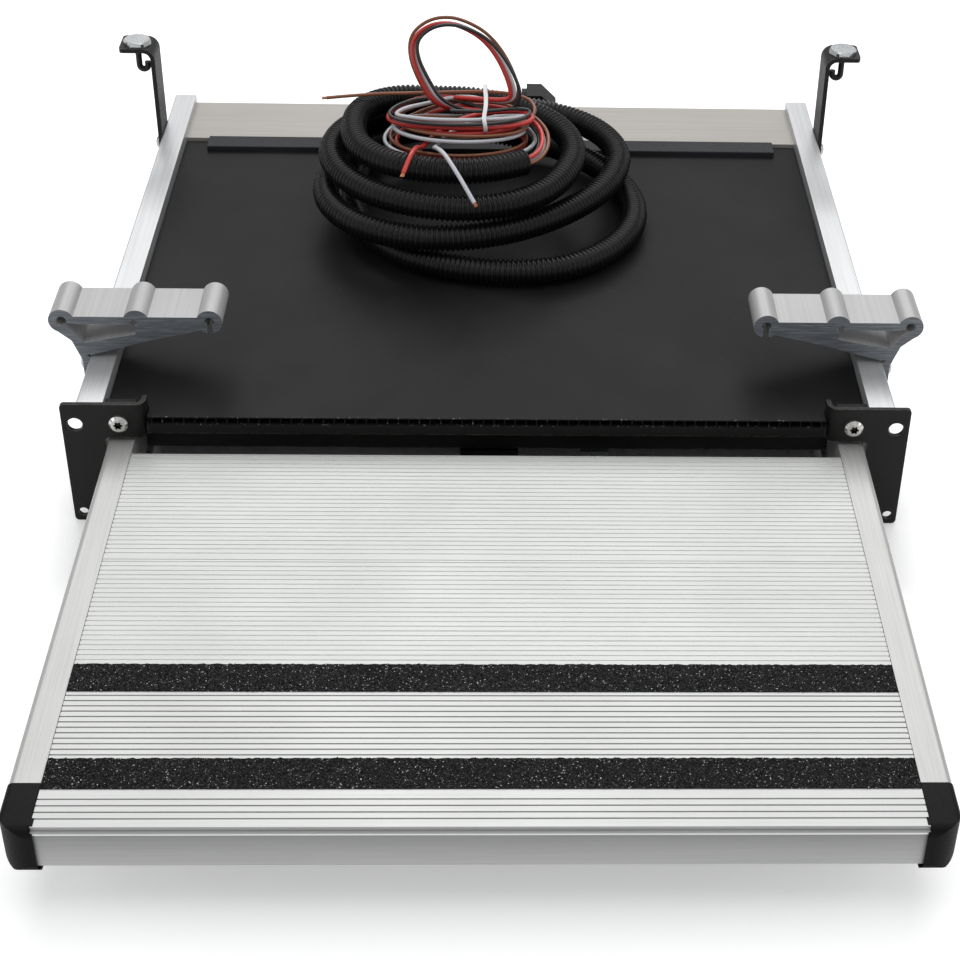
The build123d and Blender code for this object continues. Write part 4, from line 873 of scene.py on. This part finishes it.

# The nose has the same finish; its lip is painted bright as a painted highlight, with painted shade on the
# ledge above it and on the face under the lip, darkest just below the lip.
nose_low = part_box("nose_plank")[0][2]
nose_finish = drawn_aluminium(
    "nose_finish", (0.90, 0.91, 0.89), (0.97, 0.98, 0.96), 0.38, 0.46, ALONG_TREAD, 1200.0, 0.15, 0.42)
LEDGE_DROP = 0.0023
LIP_HIGH = 0.0009
lip_top = (tread_top - LEDGE_DROP - nose_low) / (tread_top - nose_low)
lip_low = (tread_top - LEDGE_DROP - LIP_HIGH - nose_low) / (tread_top - nose_low)
# The ramp paints shade on the face, darkest just under the lip, a highlight on the lip and shade on the
# ledge above it.
toned_by_height(
    nose_finish, nose_low, tread_top,
    (0.0, 0.60), (0.35, 0.50), (lip_low - 0.03, 0.34), (lip_low - 0.004, 0.22), (lip_low, 1.0),
    (lip_top - 0.004, 1.0), (lip_top - 0.001, 0.38), (lip_top + 0.006, 0.42), (lip_top + 0.02, 0.60))
dress(nose_finish, "nose_plank")
dress(bracket_metal, *pair("clamp_bracket"))
dress(coated_band, "rear_cross_profile")


# Black steel. Ears, front bar, hangers and hooked bolts are pressed from sheet and rod and powder
# coated, with a fine orange peel and the coat worn thin along their edges.
def coated_steel(name, dark, pale, bare, size, depth, wear):
    """Powder coat with its grain, dust on top and thin, pale edges."""
    material, shader = new_finish(name, dark, 0.45, Specular_IOR_Level=0.26)
    grain = place_group(material, fine_grain, Size=size, Depth=depth)
    dust = place_group(material, settled_dust, Amount=0.25)
    edge = place_group(material, worn_edge, Width=0.0007, Amount=wear)
    colour = ramp_between(material, grain.outputs["Cloud"], (0.35, dark), (0.7, pale))
    colour = laid_over(material, dust.outputs["Dust"], colour, (0.34, 0.33, 0.31))
    colour = laid_over(material, edge.outputs["Edge"], colour, bare)
    rough = ramp_between(material, grain.outputs["Fleck"], (0.3, 0.38), (0.7, 0.56))
    laid_on(material, shader, colour, rough, grain.outputs["Normal"])
    return material


ear_black = coated_steel(
    "ear_black", (0.007, 0.007, 0.0063), (0.011, 0.011, 0.0102), (0.26, 0.24, 0.21), 900.0, 0.5, 0.6)
rod_black = coated_steel(
    "rod_black", (0.010, 0.010, 0.010), (0.028, 0.025, 0.022), (0.26, 0.22, 0.18), 1400.0, 0.8, 0.5)
dress(ear_black, *pair("fascia_ear"), "front_cross_bar", *pair("rear_hanger"), "tread_crossbar")
dress(rod_black, *pair("hook_bolt"))


# Zinc-plated steel. Screws, nuts, braces, the motor's strap and the lead screw, bright with a
# blue-grey cloud and small dull spots.
def plated_steel(name, dark, pale, rough_low, rough_high, size):
    """Bright plating with dull spots."""
    material, shader = new_finish(name, pale, rough_low, 0.95)
    grain = place_group(material, fine_grain, Size=size, Depth=0.06)
    edge = place_group(material, worn_edge, Width=0.0003, Amount=0.4)
    colour = ramp_between(material, grain.outputs["Cloud"], (0.3, dark), (0.65, pale))
    colour = laid_over(material, edge.outputs["Edge"], colour, (0.85, 0.85, 0.84))
    rough = ramp_between(material, grain.outputs["Fleck"], (0.3, rough_low), (0.7, rough_high))
    laid_on(material, shader, colour, rough, grain.outputs["Normal"])
    return material


bright_zinc = plated_steel("bright_zinc", (0.42, 0.44, 0.45), (0.60, 0.61, 0.61), 0.24, 0.34, 900.0)
sheet_zinc = plated_steel("sheet_zinc", (0.40, 0.42, 0.44), (0.58, 0.60, 0.62), 0.30, 0.48, 500.0)
dress(bright_zinc, "hook_nuts", "plank_screws", "lead_screw")

# The ears' screws are nickelled, with a six-lobed recess whose floor is painted dark, a painted shade.
EAR_HEAD = 0.0107
LOBES = 0.0026
LOBES_SOFT = 0.0002
HEAD_FACE = 0.0001
RECESS_FLOOR = 0.0006
nickel = plated_steel("nickel_head", (0.62, 0.61, 0.58), (0.82, 0.81, 0.78), 0.14, 0.22, 900.0)
nickel_nodes = nickel.node_tree
low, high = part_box("ear_screws")
from_middle = sum_node(nickel_nodes, "ABSOLUTE", part_of_place(nickel, "X"))
aside = sum_node(nickel_nodes, "SUBTRACT", from_middle, float(high[0]) - EAR_HEAD / 2)
above = sum_node(nickel_nodes, "SUBTRACT", part_of_place(nickel, "Z"), float(high[2]) - EAR_HEAD / 2)
squares = [sum_node(nickel_nodes, "MULTIPLY", side, side) for side in (aside, above)]
reach = sum_node(nickel_nodes, "SQRT", sum_node(nickel_nodes, "ADD", *squares))
inside = share_between(nickel_nodes, reach, LOBES + LOBES_SOFT, LOBES)
face = float(low[1])
sunk = share_between(nickel_nodes, part_of_place(nickel, "Y"), face + HEAD_FACE, face + RECESS_FLOOR)
# The recess floor is painted near black as painted shade.
recess_shade = sum_node(nickel_nodes, "MULTIPLY", inside, sunk)
nickel_colour = nickel_nodes.nodes["Principled BSDF"].inputs["Base Color"]
recess_shaded = laid_over(nickel, recess_shade, nickel_colour.links[0].from_socket, (0.03, 0.028, 0.026))
link(nickel, recess_shaded, nickel_colour)
dress(nickel, "ear_screws")
dress(sheet_zinc, "front_brace", "rear_brace", "motor_strap", "switch_trip")

# Drive. The gear case is cast aluminium with a sandy skin; the motor's can is drawn steel, painted
# dark grey, held by the strap.
cast_skin, cast_shader = new_finish("cast_skin", (0.36, 0.37, 0.38), 0.5, 0.7)
grain = place_group(cast_skin, fine_grain, Size=420.0, Depth=0.9)
cast_colour = ramp_between(
    cast_skin, grain.outputs["Fleck"], (0.3, (0.24, 0.25, 0.26)), (0.7, (0.46, 0.47, 0.48)))
laid_on(cast_skin, cast_shader, cast_colour, relief=grain.outputs["Normal"])
dress(cast_skin, "drive_gearbox")
can_paint = coated_steel(
    "can_paint", (0.045, 0.047, 0.050), (0.070, 0.072, 0.076), (0.40, 0.40, 0.40), 1000.0, 0.3, 0.5)
dress(can_paint, "drive_motor")


# Rail screws. Round-headed screws with a hexagon socket, plated, through brackets, hangers, ears and
# braces into the rails. One screw is turned in code and set at every place.
SCREW_HEAD = 0.0090
HEAD_HIGH = 0.0026
SOCKET = 0.0034
SCREW_SIDES = 24
BRACE_TIE = 0.042


def screw_head():
    """The head of one screw, seated at the origin and looking up."""
    # Half width and height of each ring of the head, and whether it is the socket's hexagon.
    rings = [
        (SCREW_HEAD / 2 - 0.0002, 0.0, False), (SCREW_HEAD / 2, 0.0003, False),
        (SCREW_HEAD / 2, 0.0008, False), (SCREW_HEAD * 0.43, 0.0017, False),
        (SCREW_HEAD * 0.31, HEAD_HIGH - 0.0001, False), (SCREW_HEAD * 0.25, HEAD_HIGH, False),
        (SOCKET / 2, HEAD_HIGH - 0.0001, True), (SOCKET / 2, 0.0009, True),
    ]
    vertices = []
    for wide, high, six_sided in rings:
        for n in range(SCREW_SIDES):
            turn = math.tau * n / SCREW_SIDES
            reach = wide / math.cos((turn % math.radians(60)) - math.radians(30)) if six_sided else wide
            vertices.append((reach * math.cos(turn), reach * math.sin(turn), high))
    return make_mesh_object("screw_head", vertices, tube_faces(0, len(rings), SCREW_SIDES))


def screw_tree():
    """Sets the screw at every vertex, with its axis along the vertex's normal."""
    tree, given, result = tree_with(
        "screws_in_rows", ("Screw", "Object"), ("Seed", "Int"), ("Finish", "Material"))
    shape = add_node(tree, "GeometryNodeObjectInfo", {"Object": given.outputs["Screw"]})
    aim = add_node(tree, "GeometryNodeInputNamedAttribute", {"Name": "aim"}, data_type="FLOAT_VECTOR")
    stand = add_node(
        tree, "FunctionNodeAlignRotationToVector", {"Vector": aim.outputs["Attribute"]}, axis="Z")
    spin = add_node(
        tree, "FunctionNodeRandomValue", {3: math.tau, "Seed": given.outputs["Seed"]}, data_type="FLOAT")
    about = add_node(tree, "FunctionNodeAxisAngleToRotation", {"Angle": spin.outputs[1]})
    turned = add_node(tree, "FunctionNodeRotateRotation", {
        "Rotation": stand.outputs["Rotation"], "Rotate By": about.outputs["Rotation"]},
        rotation_space="LOCAL")
    copies = add_node(tree, "GeometryNodeInstanceOnPoints", {
        "Points": given.outputs["Geometry"], "Instance": shape.outputs["Geometry"],
        "Rotation": turned.outputs["Rotation"]})
    end_of_tree(tree, copies.outputs["Instances"], given, result)
    return tree


def outer_screws(node):
    """The centres, along and up, of a node's outermost screws, and how far out their heads seat."""
    low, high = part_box(node)
    half = SCREW_HEAD / 2
    return (low[1] + half, high[1] - half), (low[2] + half, high[2] - half), high[0] - HEAD_HIGH


screw_places, screw_aims = [], []
for node, rows in (("bracket_screws", 1), ("flange_screws", 1), ("hanger_screws", 2)):
    ys, zs, seat = outer_screws(node)
    for side in (-1, 1):
        for y in ys:
            for z in zs[:rows]:
                screw_places.append((side * seat, y, z))
                screw_aims.append((float(side), 0.0, 0.0))
low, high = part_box("brace_screws")
brace_y = (low[1] + SCREW_HEAD / 2, high[1] - SCREW_HEAD / 2 - BRACE_TIE, high[1] - SCREW_HEAD / 2)
for side in (-1, 1):
    for y in brace_y:
        screw_places.append((side * (high[0] - SCREW_HEAD / 2), y, high[2] - HEAD_HIGH))
        screw_aims.append((0.0, 0.0, 1.0))
screw_seats = make_mesh_object("screw_seats", screw_places, [])
aims = screw_seats.data.attributes.new("aim", "FLOAT_VECTOR", "POINT")
for value, aim in zip(aims.data, screw_aims):
    value.vector = aim
head = screw_head()
rail_screws = grown_from(screw_seats, screw_tree(), "rail_screws", Screw=head, Seed=7, Finish=bright_zinc)
bpy.data.objects.remove(screw_seats)
bpy.data.objects.remove(head)
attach(rail_screws, "housing")
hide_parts("bracket_screws", "flange_screws", "hanger_screws", "brace_screws")


# Grip strips. Self-adhesive cloth tape with mineral grit, two strips across the tread. The tape's
# rear edge is a little ragged; the grit's rare pale spots are painted glints of grains catching the light.
GRAIN_SMALL = 0.00022
GRAIN_LARGE = 0.00042
GRAINS_PER_MM2 = 0.55
MM2_PER_M2 = 1e6
TAPE_CELL = 0.0016
TAPE_BACKED = 0.0003
TAPE_WAVE = 0.00008
TAPE_RAGGED = 0.0007


def grit_tree():
    """Scatters grains over a tape and joins them to it."""
    tree, given, result = tree_with(
        "grit_on_tape", ("Density", "Float"), ("Small grain", "Float"), ("Large grain", "Float"),
        ("Seed", "Int"), ("Finish", "Material"))
    tape, seed = given.outputs["Geometry"], given.outputs["Seed"]
    upper = tree.nodes.new("GeometryNodeInputNormal").outputs["Normal"]
    up = add_node(tree, "ShaderNodeSeparateXYZ", {"Vector": upper}).outputs["Z"]
    scatter = add_node(tree, "GeometryNodeDistributePointsOnFaces", {
        "Mesh": tape, "Selection": sum_node(tree, "GREATER_THAN", up, 0.5),
        "Density": given.outputs["Density"], "Seed": seed})
    grain = add_node(tree, "GeometryNodeMeshIcoSphere", {"Radius": 1.0, "Subdivisions": 1})
    span = {2: given.outputs["Small grain"], 3: given.outputs["Large grain"], "Seed": seed}
    size = add_node(tree, "FunctionNodeRandomValue", span, data_type="FLOAT")
    any_way = {"Max": (math.tau, math.tau, math.tau), "Seed": seed}
    roll = add_node(tree, "FunctionNodeRandomValue", any_way, data_type="FLOAT_VECTOR")
    copies = add_node(tree, "GeometryNodeInstanceOnPoints", {
        "Points": scatter.outputs["Points"], "Instance": grain.outputs["Mesh"],
        "Scale": size.outputs[1], "Rotation": roll.outputs["Value"]})
    joined = add_node(tree, "GeometryNodeJoinGeometry", {"Geometry": tape})
    tree.links.new(copies.outputs["Instances"], joined.inputs["Geometry"])
    end_of_tree(tree, joined.outputs["Geometry"], given, result)
    return tree


grit_black, grit_shader = new_finish("grit_black", (0.006, 0.006, 0.006), 0.5, Specular_IOR_Level=0.06)
grit_nodes = grit_black.node_tree
crystals = add_node(grit_nodes, "ShaderNodeTexVoronoi", {"Vector": own_place(grit_nodes), "Scale": 2300.0})
chance = add_node(grit_nodes, "ShaderNodeSeparateColor", {"Color": crystals.outputs["Color"]})
# Most cells get the grit's own dark tones; the rarest are painted pale, as painted glints.
grit_tone_and_glints = ramp_between(
    grit_black, chance.outputs[0], (0.0, (0.0020, 0.0020, 0.0024)), (0.70, (0.006, 0.0058, 0.006)),
    (0.90, (0.020, 0.0195, 0.020)), (0.985, (0.10, 0.10, 0.105)), (0.996, (0.60, 0.60, 0.61)))
laid_on(grit_black, grit_shader, grit_tone_and_glints,
        ramp_between(grit_black, chance.outputs[1], (0.2, 0.22), (0.8, 0.62)))
grit = grit_tree()
for seed, node in enumerate(("front_grip_strip", "rear_grip_strip")):
    low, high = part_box(node)
    top = high[2] - TAPE_BACKED
    draw = random.Random(40 + seed)
    across = int((high[0] - low[0]) / TAPE_CELL)
    deep = int((high[1] - low[1]) / TAPE_CELL)
    vertices, faces = [], []
    for j in range(deep + 1):
        for i in range(across + 1):
            x = low[0] + (high[0] - low[0]) * i / across
            y = low[1] + (high[1] - low[1]) * j / deep
            if j == deep:
                y -= draw.uniform(0.0, TAPE_RAGGED)
            vertices.append((x, y, top + draw.uniform(-TAPE_WAVE, TAPE_WAVE)))
    row = across + 1
    for j in range(deep):
        for i in range(across):
            a = j * row + i
            faces.append((a, a + 1, a + 1 + row, a + row))
    rim = list(range(across)) + [across + j * row for j in range(deep)]
    rim += [deep * row + across - i for i in range(across)] + [(deep - j) * row for j in range(deep)]
    tape_floor = len(vertices)
    vertices += [(vertices[k][0], vertices[k][1], low[2]) for k in rim]
    for n, k in enumerate(rim):
        m = (n + 1) % len(rim)
        faces.append((k, tape_floor + n, tape_floor + m, rim[m]))
    faces.append(tuple(range(tape_floor, tape_floor + len(rim)))[::-1])
    tape = make_mesh_object("tape", vertices, faces)
    strip = grown_from(
        tape, grit, node.replace("strip", "tape"), Density=GRAINS_PER_MM2 * MM2_PER_M2,
        Small_grain=GRAIN_SMALL, Large_grain=GRAIN_LARGE, Seed=3 + seed, Finish=grit_black)
    bpy.data.objects.remove(tape)
    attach(strip, "tread")
    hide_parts(node)
